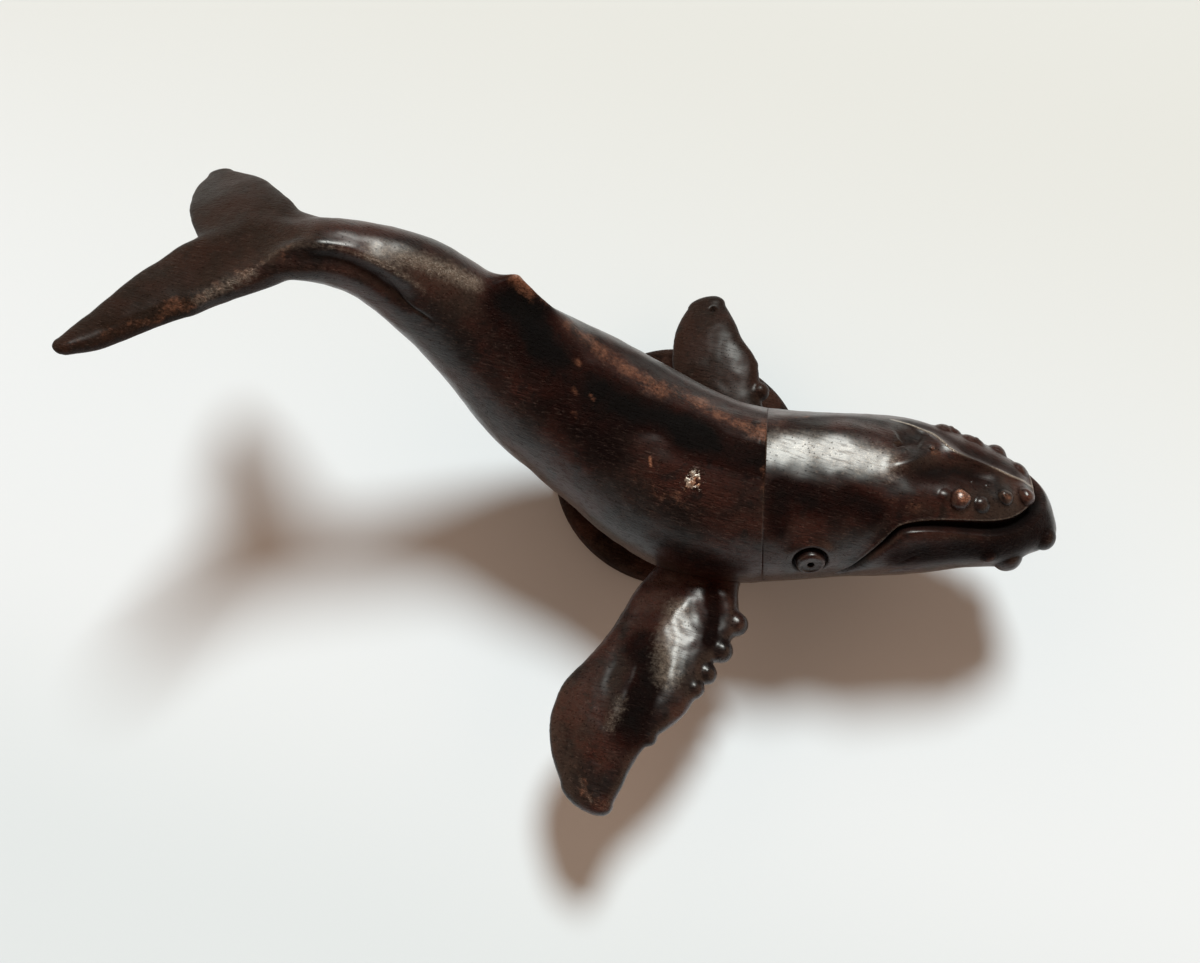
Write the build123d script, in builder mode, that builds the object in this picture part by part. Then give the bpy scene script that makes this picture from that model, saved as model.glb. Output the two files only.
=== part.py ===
from build123d import *
from math import cos, radians, sin
import os

# A small bronze whale, banked to its left as it turns, on a low round base.
# The origin is the middle of the base's underside, the snout points along +X and +Z is up.
# Lengths are in millimetres and angles in degrees.

# Base disc
disc_radius = 15.0
disc_thickness = 3.0
rim_rounding = 1.1
foot_rounding = 0.4

# The whale as a whole
whale_length = 98.0       # snout to fluke tips, along X
shoulder_radius = 10.6    # half the largest girth's width
belly_gap = 1.1           # from the disc up to the lowest point of the belly
full_bank_angle = 42.0          # roll to the left at the dorsal fin
casting_wall = 3.0
seam_clearance = 0.05     # all round each spigot, tenon, stud and plug

# Joints between the castings
spigot_length = 2.0
spigot_inset = 1.5        # from the skin in to the outside of the spigot
tail_tenon_radius = 1.3
tail_tenon_length = 5.0
flipper_tenon_radius = 1.5
flipper_tenon_length = 2.6
flipper_root_reach = 4.0  # how far the flipper's form runs on inside the skin, to be cut off
flipper_seat_depth = 1.0  # how deep the flipper's root stands in the flank

# Eyes and core plugs
eye_radius = 1.55
eye_length = 2.1
eye_proud = 0.55
eye_rounding = 0.4
eye_ring_width = 0.4
eye_ring_depth = 0.5
eye_setback = 0.85         # metal between the spigot's pocket and the eye's hole
pupil_radius = 0.45
pupil_depth = 0.9
plug_radius = 1.5

# Foot boss and base screw
boss_radius = 3.5
boss_ahead = -3.4         # from the disc's middle
boss_left = -2.6
screw_radius = 1.25
screw_length = 7.0
screw_head_radius = 2.5
screw_head_sunk = 0.3
screw_slot_width = 0.5
screw_slot_depth = 0.6
screw_clearance = 0.1

# Flippers
right_flipper_length = 27.8
left_flipper_length = 21.8

# Relief on the head
mouth_radius = 0.45
ridge_radius = 0.5
guard_radius = 0.7
slit_radius = 0.3
tubercle_radius = 1.1

overrun = 1.0             # how far a cutter runs past what it cuts

# A blade's section
blade_full_share = 0.25   # the thickest place, ahead of the middle, share of the half chord
blade_tail_share = 0.6    # how sharply the trailing edge closes

# Girths from the tail to the chin: place ahead, left and up, then half width, rise, drop and bank.
# Places are shares of the whale's length, from the disc's middle and the shoulders' height, sizes are
# shares of the shoulder radius, and the bank is a share of the full bank.
girth_shares = (
    (-0.393, -0.012, 0.211, 0.34, 0.30, 0.30, 0.52),
    (-0.355, -0.002, 0.198, 0.34, 0.34, 0.34, 0.68),
    (-0.309, 0.002, 0.172, 0.38, 0.46, 0.44, 0.84),
    (-0.242, -0.004, 0.117, 0.48, 0.57, 0.55, 0.98),
    (-0.160, -0.024, 0.058, 0.71, 0.76, 0.74, 1.00),
    (-0.058, -0.045, 0.016, 0.87, 0.88, 0.88, 0.94),
    (0.040, -0.068, 0.000, 0.94, 0.94, 0.95, 0.86),
    (0.112, -0.060, 0.003, 0.90, 0.87, 0.90, 0.79),
    (0.189, -0.040, 0.011, 0.84, 0.80, 0.83, 0.71),
    (0.255, -0.024, 0.015, 0.83, 0.74, 0.79, 0.67),
    (0.327, -0.014, 0.018, 0.71, 0.54, 0.61, 0.65),
    (0.382, -0.015, 0.017, 0.51, 0.34, 0.41, 0.64),
    (0.405, -0.018, 0.015, 0.30, 0.19, 0.25, 0.64),
)
chin_share = (0.422, -0.020, 0.012)
tail_row = 0
neck_row = 7
core_rows = slice(4, 10)  # the castings are hollow between these girths

# Blades: distance out, half chord, sweep forward, lift and thickness, as shares of the blade's length.
flipper_shares = (
    (0.00, 0.142, -0.002, 0.000, 0.165),
    (0.14, 0.172, 0.016, 0.010, 0.140),
    (0.28, 0.192, 0.012, 0.030, 0.125),
    (0.43, 0.204, -0.040, 0.050, 0.115),
    (0.57, 0.192, -0.105, 0.065, 0.110),
    (0.68, 0.172, -0.132, 0.065, 0.105),
    (0.79, 0.150, -0.125, 0.055, 0.095),
    (0.90, 0.118, -0.085, 0.040, 0.085),
    (0.97, 0.066, -0.042, 0.028, 0.060),
)
right_sweep_share = 1.0
left_sweep_share = 0.45
knob_sunk_share = 0.35    # how far a knob is sunk in the edge, share of its radius
# Knobs on the flipper's leading edge: distance out and radius, as shares of its length.
knob_shares = ((0.16, 0.058), (0.28, 0.054), (0.42, 0.036), (0.53, 0.032), (0.66, 0.028), (0.76, 0.022))

# Fluke lobes, as shares of the whale's length: place of the leading edge (ahead, left, up),
# place of the trailing edge, and thickness.
right_lobe_shares = (
    ((-0.400, -0.012, 0.212), (-0.522, -0.034, 0.203), 0.038),
    ((-0.420, -0.052, 0.208), (-0.532, -0.048, 0.206), 0.030),
    ((-0.450, -0.080, 0.207), (-0.541, -0.068, 0.209), 0.025),
    ((-0.480, -0.112, 0.214), (-0.551, -0.092, 0.217), 0.022),
    ((-0.513, -0.150, 0.226), (-0.564, -0.138, 0.232), 0.019),
    ((-0.541, -0.184, 0.236), (-0.576, -0.172, 0.240), 0.016),
    ((-0.566, -0.200, 0.243), (-0.583, -0.190, 0.245), 0.011),
)
left_lobe_shares = (
    ((-0.400, -0.012, 0.212), (-0.522, -0.034, 0.203), 0.038),
    ((-0.418, 0.020, 0.204), (-0.540, -0.012, 0.189), 0.030),
    ((-0.438, 0.040, 0.196), (-0.554, 0.010, 0.178), 0.026),
    ((-0.470, 0.060, 0.182), (-0.566, 0.040, 0.160), 0.022),
    ((-0.510, 0.079, 0.162), (-0.570, 0.063, 0.147), 0.018),
    ((-0.545, 0.086, 0.146), (-0.567, 0.078, 0.140), 0.012),
)
stem_end_share = (-0.462, -0.024, 0.206)
stem_end_width_share = 0.050
stem_end_thickness_share = 0.026

# Dorsal fin: distance out from the spine, leading edge, trailing edge and thickness, shares of the
# shoulder radius, measured at this place along the whale.
fin_ahead_share = -0.236
fin_shares = (
    (0.30, 0.98, -0.42, 0.42),
    (0.54, 0.58, -0.34, 0.36),
    (0.69, 0.20, -0.30, 0.27),
    (0.78, -0.04, -0.28, 0.17),
)

# Places on the skin: share of the length ahead, and degrees round from the back to the right. The eyes
# stand clear of the neck's spigot instead.
eye_turn_angle = 100
plug_place_shares = (0.034, 56)
right_root_place_shares = (0.058, 143)
left_root_place_shares = (0.068, -105)
# Which way each flipper points, round from +X and up from level, and how far its leading edge dips.
right_flipper_heading_angles = (-96, 2, 11)
left_flipper_heading_angles = (112, -2, 2)
mouth_place_shares = (
    (0.185, 127),
    (0.203, 117),
    (0.219, 103),
    (0.236, 86),
    (0.258, 72),
    (0.300, 67),
    (0.345, 64),
    (0.375, 60),
    (0.393, 42),
)
mouth_front_share = (0.398, 8)
ridge_place_shares = ((0.276, 4), (0.300, 0), (0.345, 0), (0.372, 0), (0.385, 0))
# Tubercles, each with its share of the tubercle radius. The upper jaw's row comes first.
tubercle_place_shares = (
    (0.286, 44, 0.60),
    (0.302, 46, 1.20),
    (0.327, 45, 0.80),
    (0.352, 40, 0.95),
    (0.374, 36, 0.95),
    (0.330, 18, 0.60),
    (0.350, 16, 0.60),
    (0.352, 104, 0.80),
    (0.373, 110, 1.10),
    (0.397, 96, 0.95),
)
tubercle_sunk_share = 0.45
guard_place_shares = ((0.240, 26), (0.264, 16), (0.279, 3), (0.264, -14), (0.240, -22))
slit_place_shares = ((0.240, 9), (0.254, 6), (0.266, 3))


def at_length(ahead, left, up):
    """A place on the whale, from shares of its length."""
    shoulder_height = disc_thickness + belly_gap + shoulder_radius
    return Vector(ahead * whale_length, left * whale_length, shoulder_height + up * whale_length)


def girth_sketch(place, half_width, rise, drop):
    """One girth: half an ellipse up to the crest and half an ellipse down to the keel."""
    with BuildSketch(place) as girth:
        with BuildLine():
            for start, height in ((0, rise), (90, rise), (180, drop), (270, drop)):
                EllipticalCenterArc((0, 0), half_width, height, start, arc_size=90)
        make_face()
    return girth.sketch


with BuildLine() as spine:
    Spline(*[at_length(*row[:3]) for row in girth_shares], at_length(*chin_share))


def spine_plane(point, bank):
    """A plane across the spine: x to the whale's left, y to its back, z to its snout."""
    forward = spine.edge().tangent_at(spine.edge().param_at_point(point))
    level_left = Vector(0, 0, 1).cross(forward)
    left = level_left.rotate(Axis((0, 0, 0), forward), -bank * full_bank_angle)
    return Plane(point, x_dir=left, z_dir=forward)


def row_plane(row):
    return spine_plane(at_length(*row[:3]), row[6])


def row_sketch(row, inset):
    return girth_sketch(row_plane(row), *[share * shoulder_radius - inset for share in row[3:6]])


def plane_ahead(ahead):
    """The plane across the spine at any share of the length, between the two nearest girths."""
    rows = [*girth_shares, (*chin_share, 0, 0, 0, girth_shares[-1][6])]
    behind, front = next(pair for pair in zip(rows, rows[1:]) if ahead <= pair[1][0])
    part_way = (ahead - behind[0]) / (front[0] - behind[0])
    bank = behind[6] + part_way * (front[6] - behind[6])
    crossing = Plane.YZ.offset(ahead * whale_length).intersect(spine.edge())
    return spine_plane(crossing.vertex().center(), bank)


with BuildPart() as skin:
    loft(sections=[*[row_sketch(row, 0) for row in girth_shares], Vertex(*at_length(*chin_share))])

with BuildPart() as core:
    loft(sections=[row_sketch(row, casting_wall) for row in girth_shares[core_rows]])

neck_plane = row_plane(girth_shares[neck_row])
tail_plane = row_plane(girth_shares[tail_row])


def on_skin(ahead, turn):
    """The plane that lies on the skin, its z straight out, turned round from the back to the right."""
    place = plane_ahead(ahead)
    out = place.x_dir * -sin(radians(turn)) + place.y_dir * cos(radians(turn))
    inside = skin.part.intersect(Line(place.origin, place.origin + out * shoulder_radius * 2))
    point = inside.edge() @ 1
    face = skin.part.faces().sort_by_distance(point)[0]
    return Plane(point, x_dir=place.z_dir, z_dir=face.normal_at(point))


def bead(places, radius):
    """A round bead along the skin, through places on it."""
    with BuildPart() as line:
        with BuildLine() as path:
            Spline(*places)
        with BuildSketch(Plane(path.line @ 0, z_dir=path.line % 0)):
            Circle(radius)
        sweep()
    return line.part


def blade_sketch(lead, trail, lift_dir, thickness):
    """A blade's section from its trailing to its leading edge, thickest ahead of the middle."""
    chord = lead - trail
    middle = trail + chord / 2
    half = chord.length / 2
    with BuildSketch(Plane(middle, x_dir=chord, z_dir=chord.cross(lift_dir))) as section:
        with BuildLine():
            for side in (1, -1):
                Spline(
                    (-half, 0),
                    (half * blade_full_share, side * thickness / 2),
                    (half, 0),
                    tangents=((blade_tail_share, side), (0, -side)),
                )
        make_face()
    return section.sketch


def seat_solid(seat, radius, depth, height):
    """A round solid across a place on the skin, from a depth below it to a height above it."""
    with BuildPart() as round_solid:
        with BuildSketch(seat.offset(-depth)):
            Circle(radius)
        extrude(amount=depth + height)
    return round_solid.part


def eye_stud(seat):
    with BuildPart() as stud:
        add(seat_solid(seat, eye_radius, eye_length - eye_proud, eye_proud))
        rim = stud.faces().sort_by(Axis(seat.origin, seat.z_dir))[-1].edges()
        fillet(rim, eye_rounding)
        with Locations(seat.offset(eye_proud)):
            Hole(pupil_radius, depth=pupil_depth)
    return stud.part


def core_plug(seat):
    """A plug through the wall, its ends dressed to the skin and to the hollow."""
    with BuildPart() as plug:
        add(seat_solid(seat, plug_radius, casting_wall * 2, overrun))
        add(skin.part, mode=Mode.INTERSECT)
        add(core.part, mode=Mode.SUBTRACT)
    return plug.part


def blade(rows, lift_dir):
    """A blade through sections, each given by its leading edge, its trailing edge and its thickness."""
    with BuildPart() as swept_blade:
        loft(sections=[blade_sketch(lead, trail, lift_dir, thickness) for lead, trail, thickness in rows])
    return swept_blade.part


def flipper(seat, heading, length, sweep_share):
    """A flipper with its knobs and its tenon, cut off flat where it stands in the flank."""
    turn, climb, dip = heading
    out = Vector(1, 0, 0).rotate(Axis.Y, -climb).rotate(Axis.Z, turn)
    side = 1 if out.Y > 0 else -1
    fore = (out * side).cross(Vector(0, 0, 1)).rotate(Axis((0, 0, 0), out), -dip * side)
    lift_dir = fore.cross(out * side)
    rows = []
    for out_share, half_share, forward_share, lift_share, thickness_share in flipper_shares:
        middle = out * out_share + fore * forward_share * sweep_share + lift_dir * lift_share
        lead = seat.origin + (middle + fore * half_share) * length
        trail = seat.origin + (middle - fore * half_share) * length
        rows.append((lead, trail, thickness_share * length))
    root_lead, root_trail, root_thickness = rows[0]
    reach = out * flipper_root_reach
    with BuildLine() as leading_edge:
        Spline(*[lead for lead, trail, thickness in rows])
    seat_cut = seat.offset(-flipper_seat_depth)
    with BuildPart() as finished:
        add(blade([(root_lead - reach, root_trail - reach, root_thickness), *rows], lift_dir))
        for out_share, radius_share in knob_shares:
            level = Plane(seat.origin + out * out_share * length, z_dir=out)
            knob = level.intersect(leading_edge.edge()).vertex().center()
            with Locations(knob - fore * knob_sunk_share * radius_share * length):
                Sphere(radius_share * length)
        split(bisect_by=seat_cut, keep=Keep.TOP)
        with BuildSketch(seat_cut.offset(-flipper_tenon_length)):
            Circle(flipper_tenon_radius)
        extrude(amount=flipper_tenon_length)
    return finished.part


eye_ahead = girth_shares[neck_row][0] + (spigot_length + eye_setback + eye_radius) / whale_length
eye_seats = [on_skin(eye_ahead, side * eye_turn_angle) for side in (1, -1)]
plug_seats = [on_skin(plug_place_shares[0], side * plug_place_shares[1]) for side in (1, -1)]
right_seat = on_skin(*right_root_place_shares)
left_seat = on_skin(*left_root_place_shares)

right_flipper_part = flipper(
    right_seat, right_flipper_heading_angles, right_flipper_length, right_sweep_share
)
left_flipper_part = flipper(left_seat, left_flipper_heading_angles, left_flipper_length, left_sweep_share)

# The front casting: mouth, tubercles, rostrum ridge and blowholes are cast with it
mouth_right = [on_skin(ahead, turn).origin for ahead, turn in mouth_place_shares]
mouth_left = [on_skin(ahead, -turn).origin for ahead, turn in mouth_place_shares]
mouth_front = on_skin(*mouth_front_share).origin
spigot_inner = row_sketch(girth_shares[neck_row], spigot_inset)
spigot_outer = row_sketch(girth_shares[neck_row], spigot_inset + seam_clearance)

with BuildPart() as head_casting:
    add(skin.part)
    split(bisect_by=neck_plane, keep=Keep.TOP)
    add(bead([on_skin(*place).origin for place in ridge_place_shares], ridge_radius))
    add(bead([on_skin(*place).origin for place in guard_place_shares], guard_radius))
    for ahead, turn, radius_share in tubercle_place_shares:
        for side in (1, -1):
            radius = tubercle_radius * radius_share
            with Locations(on_skin(ahead, side * turn).offset(-radius * tubercle_sunk_share)):
                Sphere(radius)
    add(bead([*mouth_right, mouth_front, *reversed(mouth_left)], mouth_radius), mode=Mode.SUBTRACT)
    for side in (1, -1):
        slit = [on_skin(ahead, side * turn).origin for ahead, turn in slit_place_shares]
        add(bead(slit, slit_radius), mode=Mode.SUBTRACT)
    add(core.part, mode=Mode.SUBTRACT)
    extrude(spigot_inner, amount=spigot_length + seam_clearance, mode=Mode.SUBTRACT)
    for seat in eye_seats:
        add(seat_solid(seat, eye_radius + eye_ring_width, eye_ring_depth, overrun), mode=Mode.SUBTRACT)
        hole_radius = eye_radius + seam_clearance
        add(seat_solid(seat, hole_radius, eye_length - eye_proud, overrun), mode=Mode.SUBTRACT)
head_casting.part.label = "head_casting"

# The rear casting: back, dorsal fin, tail stock, spigot and foot boss
fin_place = plane_ahead(fin_ahead_share)


def fin_point(out_share, ahead_share):
    offset_share = fin_place.y_dir * out_share + fin_place.z_dir * ahead_share
    return fin_place.origin + offset_share * shoulder_radius


fin_rows = [
    (fin_point(out_share, lead_share), fin_point(out_share, trail_share), thickness_share * shoulder_radius)
    for out_share, lead_share, trail_share, thickness_share in fin_shares
]

with BuildPart() as body_casting:
    add(skin.part)
    split(bisect_by=neck_plane, keep=Keep.BOTTOM)
    add(blade(fin_rows, fin_place.x_dir))
    with BuildSketch(Plane.XY.offset(disc_thickness)):
        with Locations((boss_ahead, boss_left)):
            Circle(boss_radius)
    extrude(amount=belly_gap + shoulder_radius)
    extrude(spigot_outer, amount=spigot_length)
    add(core.part, mode=Mode.SUBTRACT)
    for flipper_part, seat in ((right_flipper_part, right_seat), (left_flipper_part, left_seat)):
        add(flipper_part, mode=Mode.SUBTRACT)
        tenon_hole = flipper_tenon_radius + seam_clearance
        tenon_depth = flipper_seat_depth + flipper_tenon_length + seam_clearance
        add(seat_solid(seat, tenon_hole, tenon_depth, 0), mode=Mode.SUBTRACT)
    for seat in plug_seats:
        add(seat_solid(seat, plug_radius + seam_clearance, casting_wall * 2, overrun), mode=Mode.SUBTRACT)
    with BuildSketch(tail_plane):
        Circle(tail_tenon_radius + seam_clearance)
    extrude(amount=tail_tenon_length + seam_clearance, mode=Mode.SUBTRACT)
    with BuildSketch(Plane.XY.offset(disc_thickness)):
        with Locations((boss_ahead, boss_left)):
            Circle(screw_radius + seam_clearance)
    extrude(amount=screw_head_sunk + screw_length + screw_clearance - disc_thickness, mode=Mode.SUBTRACT)
body_casting.part.label = "body_casting"


# The flukes: a stem that carries the stock on, and a lobe to each side
def lobe(rows):
    ends = [(at_length(*lead), at_length(*trail), share * whale_length) for lead, trail, share in rows]
    return blade(ends, tail_plane.y_dir)


stem_direction = tail_plane.origin - at_length(*stem_end_share)
stem_end = Plane(at_length(*stem_end_share), x_dir=tail_plane.x_dir, z_dir=stem_direction)
with BuildSketch(stem_end) as stem_tip:
    Ellipse(stem_end_width_share * whale_length / 2, stem_end_thickness_share * whale_length / 2)

with BuildPart() as tail_flukes:
    loft(sections=[stem_tip.sketch, row_sketch(girth_shares[tail_row], 0)])
    for lobe_rows in (right_lobe_shares, left_lobe_shares):
        add(lobe(lobe_rows))
    split(bisect_by=tail_plane, keep=Keep.BOTTOM)
    with BuildSketch(tail_plane):
        Circle(tail_tenon_radius)
    extrude(amount=tail_tenon_length)
tail_flukes.part.label = "tail_flukes"

# Base
with BuildPart() as base_disc:
    Cylinder(disc_radius, disc_thickness, align=(Align.CENTER, Align.CENTER, Align.MIN))
    fillet(base_disc.edges().group_by(Axis.Z)[-1], rim_rounding)
    fillet(base_disc.edges().group_by(Axis.Z)[0], foot_rounding)
    with Locations(Plane((boss_ahead, boss_left, 0), z_dir=(0, 0, -1))):
        CounterSinkHole(
            radius=screw_radius + screw_clearance,
            counter_sink_radius=screw_head_radius + screw_head_sunk,
            counter_sink_angle=90,
        )
base_disc.part.label = "base_disc"

with BuildPart() as base_screw:
    with Locations((boss_ahead, boss_left, screw_head_sunk)):
        Cylinder(screw_radius, screw_length, align=(Align.CENTER, Align.CENTER, Align.MIN))
        Cone(
            screw_head_radius,
            screw_radius,
            screw_head_radius - screw_radius,
            align=(Align.CENTER, Align.CENTER, Align.MIN),
        )
        Box(
            screw_head_radius * 2,
            screw_slot_width,
            screw_slot_depth,
            align=(Align.CENTER, Align.CENTER, Align.MIN),
            mode=Mode.SUBTRACT,
        )
base_screw.part.label = "base_screw"

small_parts = {
    "right_flipper": right_flipper_part,
    "left_flipper": left_flipper_part,
    "right_eye": eye_stud(eye_seats[0]),
    "left_eye": eye_stud(eye_seats[1]),
    "right_core_plug": core_plug(plug_seats[0]),
    "left_core_plug": core_plug(plug_seats[1]),
}
for name, part in small_parts.items():
    part.label = name

os.makedirs("parts", exist_ok=True)
for builder in (head_casting, body_casting, tail_flukes, base_disc, base_screw):
    export_step(builder.part, f"parts/{builder.part.label}.step")
for part in small_parts.values():
    export_step(part, f"parts/{part.label}.step")
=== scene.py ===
from math import cos, pi, radians, sin, sqrt

import bpy
import numpy as np
from mathutils import Matrix, Vector, noise
from mathutils.bvhtree import BVHTree
from mathutils.kdtree import KDTree


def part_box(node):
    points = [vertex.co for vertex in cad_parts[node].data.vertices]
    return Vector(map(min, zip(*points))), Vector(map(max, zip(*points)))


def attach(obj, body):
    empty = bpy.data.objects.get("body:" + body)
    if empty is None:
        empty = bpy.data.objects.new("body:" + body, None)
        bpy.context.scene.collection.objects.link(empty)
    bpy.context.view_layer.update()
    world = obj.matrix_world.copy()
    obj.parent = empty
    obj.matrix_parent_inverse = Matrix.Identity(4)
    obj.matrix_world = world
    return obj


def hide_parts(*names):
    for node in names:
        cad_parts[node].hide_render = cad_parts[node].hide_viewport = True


# A small cast bronze whale, banked in a turn over its round base.
# Shapes are worked out in millimetres in the frame's own axes, and become meshes in metres.

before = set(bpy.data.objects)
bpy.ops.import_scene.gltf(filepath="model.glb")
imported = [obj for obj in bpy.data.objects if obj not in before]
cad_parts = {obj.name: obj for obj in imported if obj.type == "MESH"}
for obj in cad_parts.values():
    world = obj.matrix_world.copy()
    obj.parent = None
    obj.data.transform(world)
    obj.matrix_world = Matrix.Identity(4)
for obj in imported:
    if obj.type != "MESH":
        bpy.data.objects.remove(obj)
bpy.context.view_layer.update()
scene = bpy.context.scene
MM = 0.001

# Camera

IMAGE_WIDTH = 1200
IMAGE_HEIGHT = 963
SENSOR_MM = 36.0
LENS_MM = 39.0
EYE_POINT = np.array((11.2, -56.0, 147.8))
RIGHT = np.array((0.9559, 0.2924, -0.0260))
DOWN = np.array((0.2653, -0.8986, -0.3496))
AHEAD = np.cross(RIGHT, DOWN)

camera_data = bpy.data.cameras.new("camera")
camera_data.lens = LENS_MM
camera_data.sensor_width = SENSOR_MM
camera_data.clip_start = MM
camera = bpy.data.objects.new("camera", camera_data)
axes = Matrix((RIGHT, -DOWN, -AHEAD)).transposed().to_4x4()
camera.matrix_world = Matrix.Translation(Vector(EYE_POINT * MM)) @ axes
scene.collection.objects.link(camera)
scene.camera = camera


def pixel_ray(x, y):
    """The direction in which the camera looks through a pixel of the photograph."""
    pixels_per_unit = LENS_MM / SENSOR_MM * IMAGE_WIDTH
    across = (x - IMAGE_WIDTH / 2) / pixels_per_unit
    down = (y - IMAGE_HEIGHT / 2) / pixels_per_unit
    ray = RIGHT * across + DOWN * down + AHEAD
    return ray / np.linalg.norm(ray)


# Curves

LINE_STEP = 0.06        # between the points of a drawn line


def spline(knots, values, at):
    """A natural cubic through rows of values at the knots, read at other places."""
    knots, values, at = (np.asarray(a, float) for a in (knots, values, at))
    gaps = np.diff(knots)
    slopes = np.diff(values, axis=0) / gaps[:, None]
    count = len(knots)
    system = np.eye(count)
    right_side = np.zeros_like(values)
    for i in range(1, count - 1):
        system[i, i - 1] = gaps[i - 1]
        system[i, i] = 2 * (gaps[i - 1] + gaps[i])
        system[i, i + 1] = gaps[i]
        right_side[i] = 6 * (slopes[i] - slopes[i - 1])
    bends = np.linalg.solve(system, right_side)
    span = np.clip(np.searchsorted(knots, at) - 1, 0, count - 2)
    before = (at - knots[span])[:, None]
    after = (knots[span + 1] - at)[:, None]
    gap = gaps[span][:, None]
    start = values[span] / gap - bends[span] * gap / 6
    end = values[span + 1] / gap - bends[span + 1] * gap / 6
    cubes = (bends[span] * after**3 + bends[span + 1] * before**3) / (6 * gap)
    return cubes + start * after + end * before


def smooth_step(low, high, value):
    """0 at low, 1 at high, level at both."""
    t = np.clip((value - low) / (high - low), 0, 1)
    return t * t * (3 - 2 * t)


def bell(distance, width):
    """1 in the middle of a soft band, and almost 0 at twice its width."""
    return np.exp(-((distance / width) ** 2))


def unit(rows):
    return rows / np.maximum(np.linalg.norm(rows, axis=-1, keepdims=True), 1e-9)


def through(points):
    """Closely spaced points on a smooth line through the given ones."""
    points = np.asarray(points, float)
    if len(points) == 1:
        return points
    reach = np.concatenate(([0], np.cumsum(np.linalg.norm(np.diff(points, axis=0), axis=1))))
    return spline(reach, points, np.linspace(0, reach[-1], max(2, int(reach[-1] / LINE_STEP))))


def near_ray(line, x, y):
    """The place on the ray through a pixel that comes closest to a line."""
    ray = pixel_ray(x, y)
    offset = line - EYE_POINT
    depth = offset @ ray
    index = np.argmin(np.linalg.norm(offset - depth[:, None] * ray, axis=1))
    return EYE_POINT + ray * depth[index]


# Skins: a surface that is shaped in millimetres before it becomes a mesh


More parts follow.
